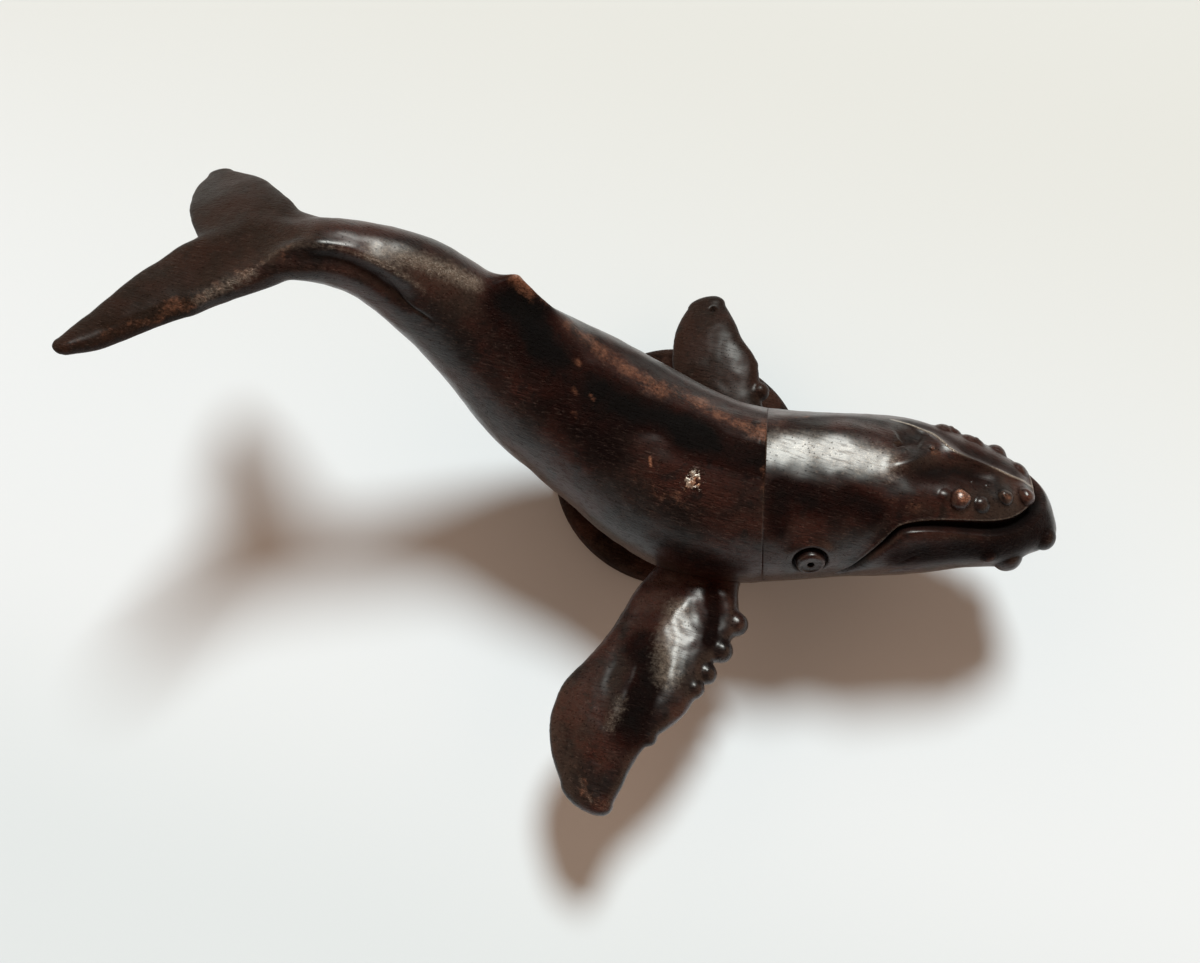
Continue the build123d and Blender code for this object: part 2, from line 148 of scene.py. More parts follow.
class Skin:
    """A surface of quads with fans that close its ends. Relief rises along the plain form's ways out."""

    def __init__(self, points, quads, fans=()):
        self.points = np.asarray(points, float)
        self.quads = np.asarray(quads, int)
        self.fans = fans          # each is a centre point's index and the ring of points round it
        self.masks = {}
        self.out = self.normals()
        self.tree = None          # the surfaces that rays through pixels are cast on

    def triangles(self):
        return [(centre, a, b) for centre, ring in self.fans for a, b in zip(ring, np.roll(ring, -1))]

    def all_faces(self):
        """Quads and fans, after each fan's centre has moved back to the middle of its ring."""
        for centre, ring in self.fans:
            self.points[centre] = self.points[ring].mean(axis=0)
        return self.quads.tolist() + [tuple(int(i) for i in face) for face in self.triangles()]

    def normals(self):
        corner = self.points[self.quads]
        face_normals = np.cross(corner[:, 2] - corner[:, 0], corner[:, 3] - corner[:, 1])
        at = self.quads.ravel()
        total = [np.bincount(at, np.repeat(face_normals[:, c], 4), len(self.points)) for c in range(3)]
        return unit(np.stack(total, axis=1))

    def at_pixel(self, x, y):
        """Where the camera's ray through a pixel meets the tree, or this skin's nearest place to the ray."""
        ray = pixel_ray(x, y)
        hit = self.tree.ray_cast(Vector(EYE_POINT), Vector(ray))[0]
        if hit is None:
            offset = self.points - EYE_POINT
            depth = offset @ ray
            away = np.linalg.norm(offset - depth[:, None] * ray, axis=1)
            near = np.flatnonzero(away < away.min() + 0.2)
            hit = self.points[near[np.argmin(depth[near])]]
        return np.array(hit)

    def path(self, pixels):
        return through([self.at_pixel(x, y) for x, y in pixels])

    def nearest(self, place):
        """The index of the point closest to a place."""
        return np.argmin(np.linalg.norm(self.points - place, axis=1))

    def gap(self, line, reach):
        """Each point's distance from a line, infinite out of reach, and the place along it, 0 to 1."""
        gaps = np.full(len(self.points), np.inf)
        along = np.zeros(len(self.points))
        low, high = line.min(axis=0) - reach, line.max(axis=0) + reach
        inside = np.flatnonzero(((self.points > low) & (self.points < high)).all(axis=1))
        if len(line) == 1:
            gaps[inside] = np.linalg.norm(self.points[inside] - line[0], axis=1)
            return gaps, along
        line_tree = KDTree(len(line))
        for i, place in enumerate(line):
            line_tree.insert(place, i)
        line_tree.balance()
        for i in inside:
            _, index, gaps[i] = line_tree.find(self.points[i])
            along[i] = index / (len(line) - 1)
        return gaps, along

    def side_gap(self, line, reach):
        """The same distances, above 0 to the line's right as seen from outside and below 0 to its left."""
        gaps, along = self.gap(line, reach)
        outs = np.array([self.out[self.nearest(place)] for place in line])
        right = unit(np.cross(np.gradient(line, axis=0), outs))
        index = np.round(along * (len(line) - 1)).astype(int)
        on_right = ((self.points - line[index]) * right[index]).sum(axis=1) > 0
        return np.where(on_right, gaps, -gaps), along

    def push(self, amount):
        self.points = self.points + self.out * amount[:, None]

    def mark(self, mask, amount):
        """Adds to a mask that the finish reads: copper wear with painted glints, pale metal with painted
        highlights, black patina with painted shade, painted shade in hollows, or lost wax.
        """
        self.masks[mask] = np.clip(self.masks.get(mask, 0) + amount, 0, 1)

    def paint(self, mask, line, width, amount):
        """Marks a soft band along a line."""
        self.mark(mask, amount * bell(self.gap(line, 2.5 * width)[0], width))

    def patches(self, table):
        """Paints rows of a mask, width, strength and pixels."""
        for mask, width, amount, pixels in table:
            self.paint(mask, self.path(pixels), width, amount)

    def ridge(self, line, height, width, ends=0.0, wear_and_glint=0.0, toward=None):
        """Raises a rounded ridge along a line, or sinks a groove where the height is below 0."""
        gaps, along = self.gap(line, 3 * width)
        amount = bell(gaps, width)
        if ends:
            amount *= smooth_step(0, ends, along) * smooth_step(0, ends, 1 - along)
        if toward is not None:
            amount *= smooth_step(-0.2, 0.3, self.out @ toward)
        self.push(amount * height)
        if wear_and_glint:
            self.mark("wear_and_glint", wear_and_glint * amount)
        # A groove gets painted shade along its floor
        if height < 0:
            self.mark("painted_shade", np.clip(-height - 0.1, 0, 0.5) * 1.6 * amount)

    def ridges(self, table):
        """Raises rows of pixels, height, width, fading ends and wear."""
        for pixels, *shape in table:
            self.ridge(self.path(pixels), *shape)

    def neighbours(self):
        edges = np.concatenate([
            np.stack((self.quads[:, i], self.quads[:, (i + 1) % 4]), axis=1) for i in range(4)
        ])
        return np.unique(np.sort(edges, axis=1), axis=0)

    def smooth(self, rounds, amount=1.0):
        """Evens the surface out by moving each point half-way to the middle of its neighbours."""
        edges = self.neighbours()
        both = np.concatenate((edges, edges[:, ::-1]))
        degree = np.bincount(both[:, 0], minlength=len(self.points))
        for _ in range(rounds):
            total = np.stack([
                np.bincount(both[:, 0], self.points[both[:, 1], c], len(self.points)) for c in range(3)
            ], axis=1)
            middle = np.where(degree[:, None] > 0, total / np.maximum(degree, 1)[:, None], self.points)
            self.points = self.points + (middle - self.points) * 0.5 * np.reshape(amount, (-1, 1))

    def unevenness(self, *swells):
        """Random swells, as a modelling tool leaves in wax: size and height in millimetres, and seed."""
        for size, height, seed in swells:
            shift = Vector((seed * 17.3, seed * 5.1, seed * 9.7))
            field = np.array([noise.noise(Vector(point) / size + shift) for point in self.points])
            self.push(field * height)

    def mesh_object(self, name):
        faces = self.all_faces()
        mesh = bpy.data.meshes.new(name)
        mesh.from_pydata((self.points * MM).tolist(), [], faces)
        mesh.shade_smooth()
        flat = mesh.attributes.new("sharp_face", "BOOLEAN", "FACE")
        flat.data.foreach_set("value", np.arange(len(faces)) >= len(self.quads))
        for mask in MASKS:
            layer = mesh.attributes.new(mask, "FLOAT", "POINT")
            amount = np.broadcast_to(self.masks.get(mask, 0.0), len(self.points))
            layer.data.foreach_set("value", amount.astype(np.float32))
        piece = bpy.data.objects.new(name, mesh)
        scene.collection.objects.link(piece)
        return piece


# The masks: copper wear, which also paints a few glints; rubbed pale metal set where highlights fall, so
# painted highlight; black patina, also used as painted shade; painted shade in grooves, moats and holes; and
# lost wax.
MASKS = ("wear_and_glint", "bare_and_highlight", "black_patina_and_shade", "painted_shade", "matt")


def tree_of(*skins):
    """What a ray meets first on several skins."""
    points, quads, start = [], [], 0
    for skin in skins:
        points += skin.points.tolist()
        quads += (skin.quads + start).tolist()
        start = len(points)
    return BVHTree.FromPolygons(points, quads)


def merged(skins):
    """Several closed skins kept as one piece."""
    fans, starts = [], np.cumsum([0] + [len(skin.points) for skin in skins])
    for skin, start in zip(skins, starts):
        fans += [(centre + start, ring + start) for centre, ring in skin.fans]
    points = np.concatenate([skin.points for skin in skins])
    whole = Skin(points, np.concatenate([skin.quads + start for skin, start in zip(skins, starts)]), fans)
    for mask in MASKS:
        whole.masks[mask] = np.concatenate([
            np.broadcast_to(skin.masks.get(mask, 0.0), len(skin.points)) for skin in skins
        ])
    return whole


def tube(rings, around):
    """Quads of a tube of rings, and the fans that close it, whose centres come after the rings."""
    i, j = np.meshgrid(np.arange(rings - 1), np.arange(around), indexing="ij")
    k = (j + 1) % around
    quads = np.stack((i * around + j, i * around + k, (i + 1) * around + k, (i + 1) * around + j), axis=-1)
    first = np.arange(around)
    last = (rings - 1) * around + first
    fans = [(rings * around, first[::-1]), (rings * around + 1, last)]
    return quads.reshape(-1, 4), fans


def closed_tube(points, rings, around):
    """A skin from the rings of a tube, closed at both ends."""
    quads, fans = tube(rings, around)
    ends = np.stack((points[:around].mean(axis=0), points[-around:].mean(axis=0)))
    return Skin(np.concatenate((points, ends)), quads, fans)


# Sizes of the casting, in millimetres, angles in degrees, as in the CAD

WHALE_LENGTH = 98.0
SHOULDER_RADIUS = 10.6
SHOULDER_HEIGHT = 14.7
FULL_BANK = 42.0
DISC_RADIUS = 15.0
DISC_THICKNESS = 3.0
RIM_ROUNDING = 1.1
FOOT_ROUNDING = 0.4

# Girths from the tail to the chin: ahead, left and up as shares of the length, then half width, rise and
# drop as shares of the shoulder radius, and the bank as a share of the full bank.
GIRTHS = (
    (-0.393, -0.012, 0.211, 0.34, 0.30, 0.30, 0.52),
    (-0.355, -0.002, 0.198, 0.34, 0.34, 0.34, 0.68),
    (-0.309, 0.002, 0.172, 0.38, 0.46, 0.44, 0.84),
    (-0.242, -0.004, 0.117, 0.48, 0.57, 0.55, 0.98),
    (-0.160, -0.024, 0.058, 0.71, 0.76, 0.74, 1.00),
    (-0.058, -0.045, 0.016, 0.87, 0.88, 0.88, 0.94),
    (0.040, -0.068, 0.000, 0.94, 0.94, 0.95, 0.86),
    (0.112, -0.060, 0.003, 0.90, 0.87, 0.90, 0.79),
    (0.189, -0.040, 0.011, 0.84, 0.80, 0.83, 0.71),
    (0.255, -0.024, 0.015, 0.83, 0.74, 0.79, 0.67),
    (0.327, -0.014, 0.018, 0.71, 0.54, 0.61, 0.65),
    (0.382, -0.015, 0.017, 0.51, 0.34, 0.41, 0.64),
    (0.405, -0.018, 0.015, 0.30, 0.19, 0.25, 0.64),
    (0.422, -0.020, 0.012, 0.00, 0.00, 0.00, 0.64),
)
NECK_ROW = 7
# Points lie closer together on the side towards the camera.
CLOSEST_TURN = radians(60)
CLOSER_ROUND_SHARE = 0.38
LAST_ROW = len(GIRTHS) - 1
TOO_FAR = 16             # a ring further than this from a place belongs to another bend of the spine


def at_length(ahead, left, up):
    """A place in millimetres, from shares of the length."""
    return np.array((ahead * WHALE_LENGTH, left * WHALE_LENGTH, SHOULDER_HEIGHT + up * WHALE_LENGTH))


class Torso:
    """The whale's trunk as rings of points along its spine."""

    def __init__(self, first_row, last_row, rings, around):
        rows = np.array(GIRTHS)
        beyond = rows[-2:-5:-1].copy()
        beyond[:, 3:6] *= -1
        rows = np.concatenate((rows, beyond))
        knots = np.concatenate(([0], np.cumsum(np.linalg.norm(
            np.diff(rows[:, :6] * (1, 1, 1, 0.1, 0.1, 0.1), axis=0), axis=1))))
        at = np.linspace(*np.interp((first_row, last_row), np.arange(len(knots)), knots), rings)
        table = spline(knots, rows, at)
        nudge = 1e-4
        forward = unit((spline(knots, rows, at + nudge) - spline(knots, rows, at - nudge))[:, :3])
        tip = at > knots[LAST_ROW] - 0.02
        if tip.any():
            forward[tip] = forward[~tip][-1]
        level_left = unit(np.cross((0, 0, 1), forward))
        level_up = np.cross(forward, level_left)
        bank = np.radians(table[:, 6] * FULL_BANK)[:, None]
        self.left = level_left * np.cos(bank) - level_up * np.sin(bank)
        self.back = np.cross(forward, self.left)
        self.centre = np.array([at_length(*row[:3]) for row in table])
        self.forward = forward
        self.ahead = table[:, 0]
        even = np.arange(around) / around * 2 * pi
        turns = even + CLOSER_ROUND_SHARE * (np.sin(even - CLOSEST_TURN - pi) + np.sin(CLOSEST_TURN + pi))
        width = table[:, 3:4] * SHOULDER_RADIUS * -np.sin(turns)
        height = np.where(np.cos(turns) > 0, table[:, 4:5], table[:, 5:6]) * SHOULDER_RADIUS * np.cos(turns)
        points = (
            self.centre[:, None]
            + self.left[:, None] * width[:, :, None]
            + self.back[:, None] * height[:, :, None]
        )
        self.points = points.reshape(-1, 3)
        self.ring_of = np.repeat(np.arange(rings), around)

    def mirrored(self, line):
        """The same line on the whale's other side."""
        offset = line[:, None] - self.centre
        off_ring = np.abs((offset * self.forward).sum(axis=2))
        ring = (off_ring + 99 * (np.linalg.norm(offset, axis=2) > TOO_FAR)).argmin(axis=1)
        across = (offset[np.arange(len(line)), ring] * self.left[ring]).sum(axis=1)
        return line - 2 * across[:, None] * self.left[ring]


BLADE_RINGS = 90
TIP_RINGS = 10


def blade(rows, around, lift, tip_reach):
    """A closed blade through rows of leading and trailing edge and thickness, fuller at its leading edge."""
    table = np.array([[*lead, *trail, thickness] for lead, trail, thickness in rows])
    middle = (table[:, :3] + table[:, 3:6]) / 2
    reach = np.concatenate(([0], np.cumsum(np.linalg.norm(np.diff(middle, axis=0), axis=1))))
    table = spline(reach, table, np.linspace(0, reach[-1], BLADE_RINGS))
    end = table[-1]
    out = unit((table[-1] - table[-2])[:3] + (table[-1] - table[-2])[3:6])
    caps = []
    for share in np.sin(np.linspace(0.15, 1, TIP_RINGS) * pi / 2):
        close = sqrt(max(1 - share**2, 0.0)) + 0.02
        centre = (end[:3] + end[3:6]) / 2 + out * tip_reach * share
        half = (end[:3] - end[3:6]) / 2 * close
        caps.append([*(centre + half), *(centre - half), end[6] * close])
    table = np.concatenate((table, caps))
    turns = np.arange(around) / around * 2 * pi
    lead, trail, thickness = table[:, :3], table[:, 3:6], table[:, 6:7]
    half = (lead - trail) / 2
    lift = lift - (unit(half) @ lift)[:, None] * unit(half)
    rise = thickness / 2 * np.sign(np.sin(turns)) * np.abs(np.sin(turns)) ** 0.8 * (1 + 0.35 * np.cos(turns))
    points = (
        ((lead + trail) / 2)[:, None]
        + half[:, None] * np.cos(turns)[:, None]
        + unit(lift)[:, None] * rise[:, :, None]
    )
    return closed_tube(points.reshape(-1, 3), len(table), around)


def globe(centre, radius, rings=16, around=24):
    """A closed ball, to be joined to another form."""
    tilts = (np.arange(rings) + 0.5) / rings * pi
    turns = np.arange(around) / around * 2 * pi
    shape = np.stack((
        np.sin(tilts)[:, None] * np.cos(turns),
        np.sin(tilts)[:, None] * np.sin(turns),
        -np.cos(tilts)[:, None] * np.ones(around),
    ), axis=-1)
    return closed_tube((shape * radius).reshape(-1, 3) + centre, rings, around)


def joined(skins, grain, rounds):
    """One even skin of quads about a grain wide, round several closed forms that run into each other."""
    points, faces, start = [], [], 0
    for skin in skins:
        faces += [tuple(i + start for i in face) for face in skin.all_faces()]
        points += skin.points.tolist()
        start = len(points)
    mesh = bpy.data.meshes.new("forms")
    mesh.from_pydata(points, [], faces)
    forms = bpy.data.objects.new("forms", mesh)
    scene.collection.objects.link(forms)
    remesh = forms.modifiers.new("even", "REMESH")
    remesh.mode = "VOXEL"
    remesh.voxel_size = grain
    bpy.context.view_layer.update()
    result = bpy.data.meshes.new_from_object(forms.evaluated_get(bpy.context.evaluated_depsgraph_get()))
    even_points = np.empty(len(result.vertices) * 3)
    result.vertices.foreach_get("co", even_points)
    quads = [tuple(face.vertices) for face in result.polygons if len(face.vertices) == 4]
    skin = Skin(even_points.reshape(-1, 3), quads)
    bpy.data.objects.remove(forms)
    skin.smooth(rounds)
    skin.out = skin.normals()
    return skin


# Head

HEAD_RINGS = 258
HEAD_AROUND = 325
UP = np.array((0, 0, 1.0))
# Slow and fine unevenness of the head, the body and the flukes: size and height in millimetres, and seed.
WAX_SWELLS = ((5.0, 0.14, 1), (1.4, 0.04, 2))
CREST_PIXELS = (
    (892, 419.5), (900, 422), (918, 430), (932, 437), (941, 444), (950, 452), (964, 459), (980, 466),
    (996, 472), (1010, 478), (1026, 483), (1036, 488)
)
MOUTH_PIXELS = (
    (1039, 500), (1030, 512), (1018, 521), (1000, 526), (980, 526.5), (940, 524), (915, 524.5), (900, 528),
    (888, 538), (872, 552), (857, 563), (843, 570), (828, 574)
)
# Ridges and grooves: pixels of the middle line, height and width in millimetres, the share of the length
# over which each end fades, and the wear.
VALLEYS = (
    (((900, 479), (912, 475), (925, 471), (945, 468), (965, 470), (985, 476), (1003, 483)), -0.6, 1.25, 0.3),
    (((950, 440), (970, 450), (990, 459), (1010, 470)), -0.35, 1.1, 0.3),
)
CREST_RIDGES = ((0.32, 1.1, 0.4), (0.36, 0.3, 0.3))       # a swell and its sharp edge
CREST_SHINE, CREST_SHINE_WIDTH = 0.9, 0.17
# A bowl between the crest and the guard's near arm, the guard, and the two slits.
BLOWHOLE = (
    (((900, 441), (912, 440), (923, 444)), -0.35, 1.25, 0.2),
    (((878, 464), (892, 466), (904, 464), (916, 461), (928, 456), (936, 449)), 0.38, 0.8, 0.45, 0.12),
    (((893, 446), (900, 443.5), (908, 442), (914, 442)), -0.42, 0.26, 0.3),
    (((898, 438), (904, 437), (909, 437)), -0.25, 0.2, 0.3),
)
# These are on both sides of the head.
CHEEKS = ((((850, 520), (880, 512), (910, 505), (940, 500)), 0.18, 1.8, 0.4),)
FOLDS = (
    (((882, 567), (896, 563), (912, 557), (930, 549)), -0.16, 0.22, 0.4),
    (((896, 555), (908, 551), (926, 545)), -0.16, 0.22, 0.4),
    (((880, 572), (900, 570), (928, 563)), -0.16, 0.22, 0.4),
    (((886, 548), (892, 542), (901, 539), (914, 538), (930, 539)), 0.12, 0.16, 0.3),
)
PEARL_PIXEL = (931, 449)
CROWN_PIXELS = (
    (730, 417), (750, 421), (768, 425), (790, 428), (820, 430), (850, 431), (884, 434), (905, 440)
)
CROWN_RISE, CROWN_WIDTH = 0.5, 2.6
# Mask, width in millimetres, strength and the pixels of its middle line.
HEAD_PATCHES = (
    # Painted shade above the cheek, by the seam and round the eye
    ("black_patina_and_shade", 1.3, 0.45, ((850, 496), (862, 502), (872, 508))),
    ("black_patina_and_shade", 1.2, 0.4, ((778, 486), (779, 505), (777, 530))),
    ("black_patina_and_shade", 1.5, 0.4, ((800, 496), (815, 500))),
    ("wear_and_glint", 1.0, 0.36, ((934, 452), (944, 450), (952, 458))),
    ("wear_and_glint", 1.2, 0.22, ((884, 496), (900, 500), (914, 506))),
    ("wear_and_glint", 0.7, 0.3, ((776, 428), (790, 422), (812, 418))),
    # Painted highlight on the crown
    ("bare_and_highlight", 2.3, 0.42, ((778, 446), (810, 449), (845, 455), (884, 462))),
    # Painted shade on the far slope, above the crown's highlight, on the lower jaw, under the guard and on
    # the cheek
    ("black_patina_and_shade", 1.5, 0.34, ((912, 424), (935, 431), (960, 446), (985, 458), (1012, 472))),
    ("black_patina_and_shade", 1.5, 0.3, ((785, 424), (820, 421), (850, 420), (880, 423))),
    ("black_patina_and_shade", 2.2, 0.46, ((900, 556), (940, 552), (975, 549), (1005, 543), (1025, 535), (1042, 522))),
    ("black_patina_and_shade", 1.5, 0.25, ((915, 474), (945, 478), (975, 480))),
    ("black_patina_and_shade", 2.6, 0.24, ((790, 500), (840, 510), (890, 512), (930, 512))),
    # Copper wear along the lower lip, which also paints glints
    ("wear_and_glint", 0.4, 0.3, ((905, 535), (940, 534), (975, 536), (1000, 535))),
)
# Beads stand out of the skin: pixel, radius in millimetres and how worn.
BEADS = ((959, 500, 1.1, 0.8), (1003, 498, 0.9, 0.35), (1025, 498, 1.05, 0.3))
PEARL_RADIUS = 0.36
PEARL_RISE = 0.3
PEARL_WORN = 0.5
# Lumps melt into it, and have their height as a share of a full one's as well. Those of the jaw come last.
LUMPS = (
    (945, 496, 0.7, 0.0, 0.45), (981, 505, 0.85, 0.0, 0.8), (973, 480, 0.25, 0.2, 1), (987, 484, 0.2, 0.2, 1),
    (944, 429, 1.0, 0.0, 0.72), (953, 432, 0.8, 0.0, 0.7), (970, 440, 0.9, 0.1, 0.65),
    (978, 444, 0.7, 0.0, 0.6), (997, 452, 1.1, 0.25, 0.85), (1020, 469, 1.05, 0.1, 0.7),
    (988, 555, 0.8, 0.5, 1), (1008, 560, 1.45, 0.1, 1), (1045, 539, 1.2, 0.1, 1)
)
CHIN_LUMPS = slice(-3, -1)        # the ones that the other side of the jaw has too
# The way out of the skin at which beads are most rubbed
BEAD_TOP = unit(np.array((0.25, 0.35, 1.0)))
MOUTH_REACH = 6.0
MOUTH_SHUT = (0.17, 0.3)          # half width and depth of the groove at the corners
MOUTH_OPENS = (0.30, 1.1)         # what both gain where it gapes
LIP_DROP = 0.2                    # how far back the lower lip lies on the far side
LIP_RISE = 0.65                   # and how much further out it stands on the near side
TUCK = 0.12                       # of the upper jaw behind its rim
RIM_RISE = 0.13
RIM_WIDTH = 0.16


# The swell round a bead and the painted shade in its moat, and the dome, swell and moat of a lump with
# the painted shade in that moat, as shares of the radius
BEAD_SWELL, BEAD_SWELL_WIDTH = 0.4, 1.5
BEAD_MOAT_SHADE, BEAD_MOAT_WIDTH = 0.4, 0.2
LUMP_DOME, LUMP_SWELL, LUMP_SWELL_WIDTH = 0.52, 0.24, 1.35
LUMP_MOAT, LUMP_MOAT_SHADE, LUMP_MOAT_WIDTH = 1.1, 0.3, 0.18


def tubercle(skin, place, radius, wear_and_glint):
    """A cast bead that stands half out of a low swell of the skin."""
    index = skin.nearest(place)
    base, out = skin.points[index], skin.out[index]
    gaps = skin.gap(base[None], 3 * radius)[0]
    skin.push(BEAD_SWELL * radius * bell(gaps, BEAD_SWELL_WIDTH * radius))
    # Painted shade in the moat round the bead
    skin.mark("painted_shade", BEAD_MOAT_SHADE * bell(gaps - radius, BEAD_MOAT_WIDTH * radius))
    bead = globe(base + out * 0.02 * radius, radius, 20, 32)
    bead.unevenness((0.9 * radius, 0.14 * radius, index % 7))
    bead.mark("wear_and_glint", wear_and_glint * smooth_step(0.45, 0.85, bead.out @ BEAD_TOP))
    # Painted shade on the bead's side where it meets the skin
    bead.mark("painted_shade", 0.5 * smooth_step(0.45, 0.0, bead.out @ out))
    return bead


def lump(skin, place, radius, wear_and_glint, stature):
    """A tubercle that melts into the skin round it."""
    base = skin.points[skin.nearest(place)]
    gaps = skin.gap(base[None], 3 * radius)[0]
    dome = np.clip(1 - (gaps / radius) ** 2, 0, 1) ** 0.75
    skin.push(stature * radius * (LUMP_DOME * dome + LUMP_SWELL * bell(gaps, LUMP_SWELL_WIDTH * radius)))
    skin.mark("wear_and_glint", wear_and_glint * dome**2)
    # Painted shade in the moat round the lump
    moat = bell(gaps - LUMP_MOAT * radius, LUMP_MOAT_WIDTH * radius)
    skin.mark("painted_shade", LUMP_MOAT_SHADE * stature * moat)


def carve_mouth(skin, mouth):
    """A gap under the upper lip's fine rolled rim, and a lower lip that stands out beyond it."""
    right, along = skin.side_gap(mouth, MOUTH_REACH)
    below = -right        # the line runs with the lower jaw on its left
    from_corner = np.minimum(along, 1 - along)
    fade = smooth_step(0.0, 0.10, from_corner)
    opening = smooth_step(0.08, 0.36, 1 - along) * smooth_step(0.40, 0.54, along)
    near_side = smooth_step(0.40, 0.56, along)
    width, depth = (shut + more * opening for shut, more in zip(MOUTH_SHUT, MOUTH_OPENS))
    roll = smooth_step(0, 0.8, below) * bell(np.maximum(below - 1.0, 0), 2.2)
    skin.push(fade * (LIP_RISE * near_side - LIP_DROP) * np.where(below > 0, roll, 0))
    skin.push(-TUCK * fade * np.where(below < 0, bell(below + 1.1, 0.8), 0))
    groove = bell(below - 0.1, width)
    skin.push(-depth * groove * smooth_step(0, 0.04, from_corner))
    # Painted shade in the mouth's gap
    skin.mark("painted_shade", np.clip(1.3 * groove, 0, 1) * smooth_step(0, 0.06, from_corner))
    rim = bell(below + 1.35 * width, RIM_WIDTH) * fade
    skin.push(RIM_RISE * rim)
    # A painted highlight along the rim, where the painted shade is taken off
    skin.mark("bare_and_highlight", (0.3 + 0.5 * bell(along - 0.5, 0.06)) * rim)
    skin.mark("painted_shade", -rim)


def shape_head():
    """The head with its beads, and where its eyes sit."""
    torso = Torso(NECK_ROW, LAST_ROW - 0.04, HEAD_RINGS, HEAD_AROUND)
    skin = closed_tube(torso.points, HEAD_RINGS, HEAD_AROUND)
    skin.tree = tree_of(skin)

    def ridges_on_both_sides(table):
        """Each ridge, and its mirror image on the far side."""
        for pixels, *shape in table:
            line = skin.path(pixels)
            for side_line in (line, torso.mirrored(line)):
                skin.ridge(side_line, *shape)

    crest = skin.path(CREST_PIXELS)
    mouth_right = skin.path(MOUTH_PIXELS)
    mouth = through(np.concatenate((torso.mirrored(mouth_right)[::-12], mouth_right[10::12])))
    skin.ridges(VALLEYS)
    # The crest's painted highlight is a finer line than its ridge, so it is painted before the ridge rises
    skin.paint("bare_and_highlight", crest, CREST_SHINE_WIDTH, CREST_SHINE)
    for shape in CREST_RIDGES:
        skin.ridge(crest, *shape)
    ridges_on_both_sides(CHEEKS)
    carve_mouth(skin, mouth)
    skin.ridges(BLOWHOLE)
    ridges_on_both_sides(FOLDS)

    places = [skin.at_pixel(*lump_row[:2]) for lump_row in LUMPS]
    for place, lump_row in zip(places, LUMPS):
        lump(skin, place, *lump_row[2:])
    for place, lump_row in zip(places[CHIN_LUMPS], LUMPS[CHIN_LUMPS]):
        lump(skin, torso.mirrored(place[None])[0], *lump_row[2:])
    beads = [tubercle(skin, skin.at_pixel(x, y), radius, wear_and_glint) for x, y, radius, wear_and_glint in BEADS]
    pearl = skin.at_pixel(*PEARL_PIXEL)
    pearl = pearl + PEARL_RISE * skin.out[skin.nearest(pearl)]
    beads.append(tubercle(skin, pearl, PEARL_RADIUS, PEARL_WORN))
    skin.unevenness(*WAX_SWELLS)
    seats = {node: seat_eye(skin, node) for node in ("right_eye", "left_eye")}
    collar(skin, torso)
    skin.patches(HEAD_PATCHES)
    return merged([skin, *beads]), seats


SEAM_DEPTH, SEAM_WIDTH = 0.03, 0.4
SEAM_SHADE, SEAM_SHADE_WIDTH = 0.16, 0.6


def collar(skin, torso):
    """The dressed seam at the neck: a fine open line between softened edges, with painted shade along it."""
    end = -1 if torso.ahead[-1] < 0.2 else 0
    gap = np.abs((skin.points - torso.centre[end]) @ torso.forward[end])
    skin.push(-SEAM_DEPTH * bell(gap, SEAM_WIDTH))
    # Painted shade along the seam's open line
    skin.mark("painted_shade", SEAM_SHADE * bell(gap, SEAM_SHADE_WIDTH))


EYE_REACH = 6            # from the eye's middle, beyond which its seat has no part
EYE_SUNK = 0.45
RING_EDGE = (1.6, 1.95)  # inner and outer radius of the slope into the sunk ring
# Inner and outer radius of the painted shade in the sunk ring
RING_SHADE = (1.75, 2.1)
SWELL_RISE, SWELL_WIDTH = 0.3, 2.7
BROW_RISE, BROW_RADIUS, BROW_WIDTH = 0.25, 2.2, 0.5


def seat_eye(skin, node):
    """A sunk ring for the eye, under a low brow. Returns its place and its way out."""
    index = skin.nearest(node_middle(node))
    place, out = skin.points[index], skin.out[index]
    offset = skin.points - place
    gaps = np.linalg.norm(offset - (offset @ out)[:, None] * out, axis=1)
    near = (np.linalg.norm(offset, axis=1) < EYE_REACH) & (skin.out @ out > 0.2)
    raised = smooth_step(-0.5, 2.0, offset @ UP)
    brow = BROW_RISE * bell(gaps - BROW_RADIUS, BROW_WIDTH) * raised
    sunk = EYE_SUNK * smooth_step(*RING_EDGE[::-1], gaps)
    skin.push(np.where(near, SWELL_RISE * bell(gaps, SWELL_WIDTH) + brow - sunk, 0))
    # Painted shade in the sunk ring
    skin.mark("painted_shade", np.where(near, 0.7 * smooth_step(*RING_SHADE[::-1], gaps), 0))
    return place, out


# Body, with the dorsal fin

BODY_RINGS = 300
BODY_AROUND = 330
FIN_AHEAD = -0.2375
FIN_HEIGHT = 1.85
FIN_FRONT = 9.0
FIN_REAR = 2.2
FIN_HALF_WIDTH = 1.7
FIN_NARROWS = 0.75       # towards its top
FIN_LEANS = 0.16
KEEL_PIXELS = (
    (262, 263), (275, 254), (290, 249), (310, 246), (327, 247), (352, 252), (372, 260), (395, 271), (425, 292)
)
KEEL_SHINE, KEEL_SHINE_WIDTH = 0.22, 0.5
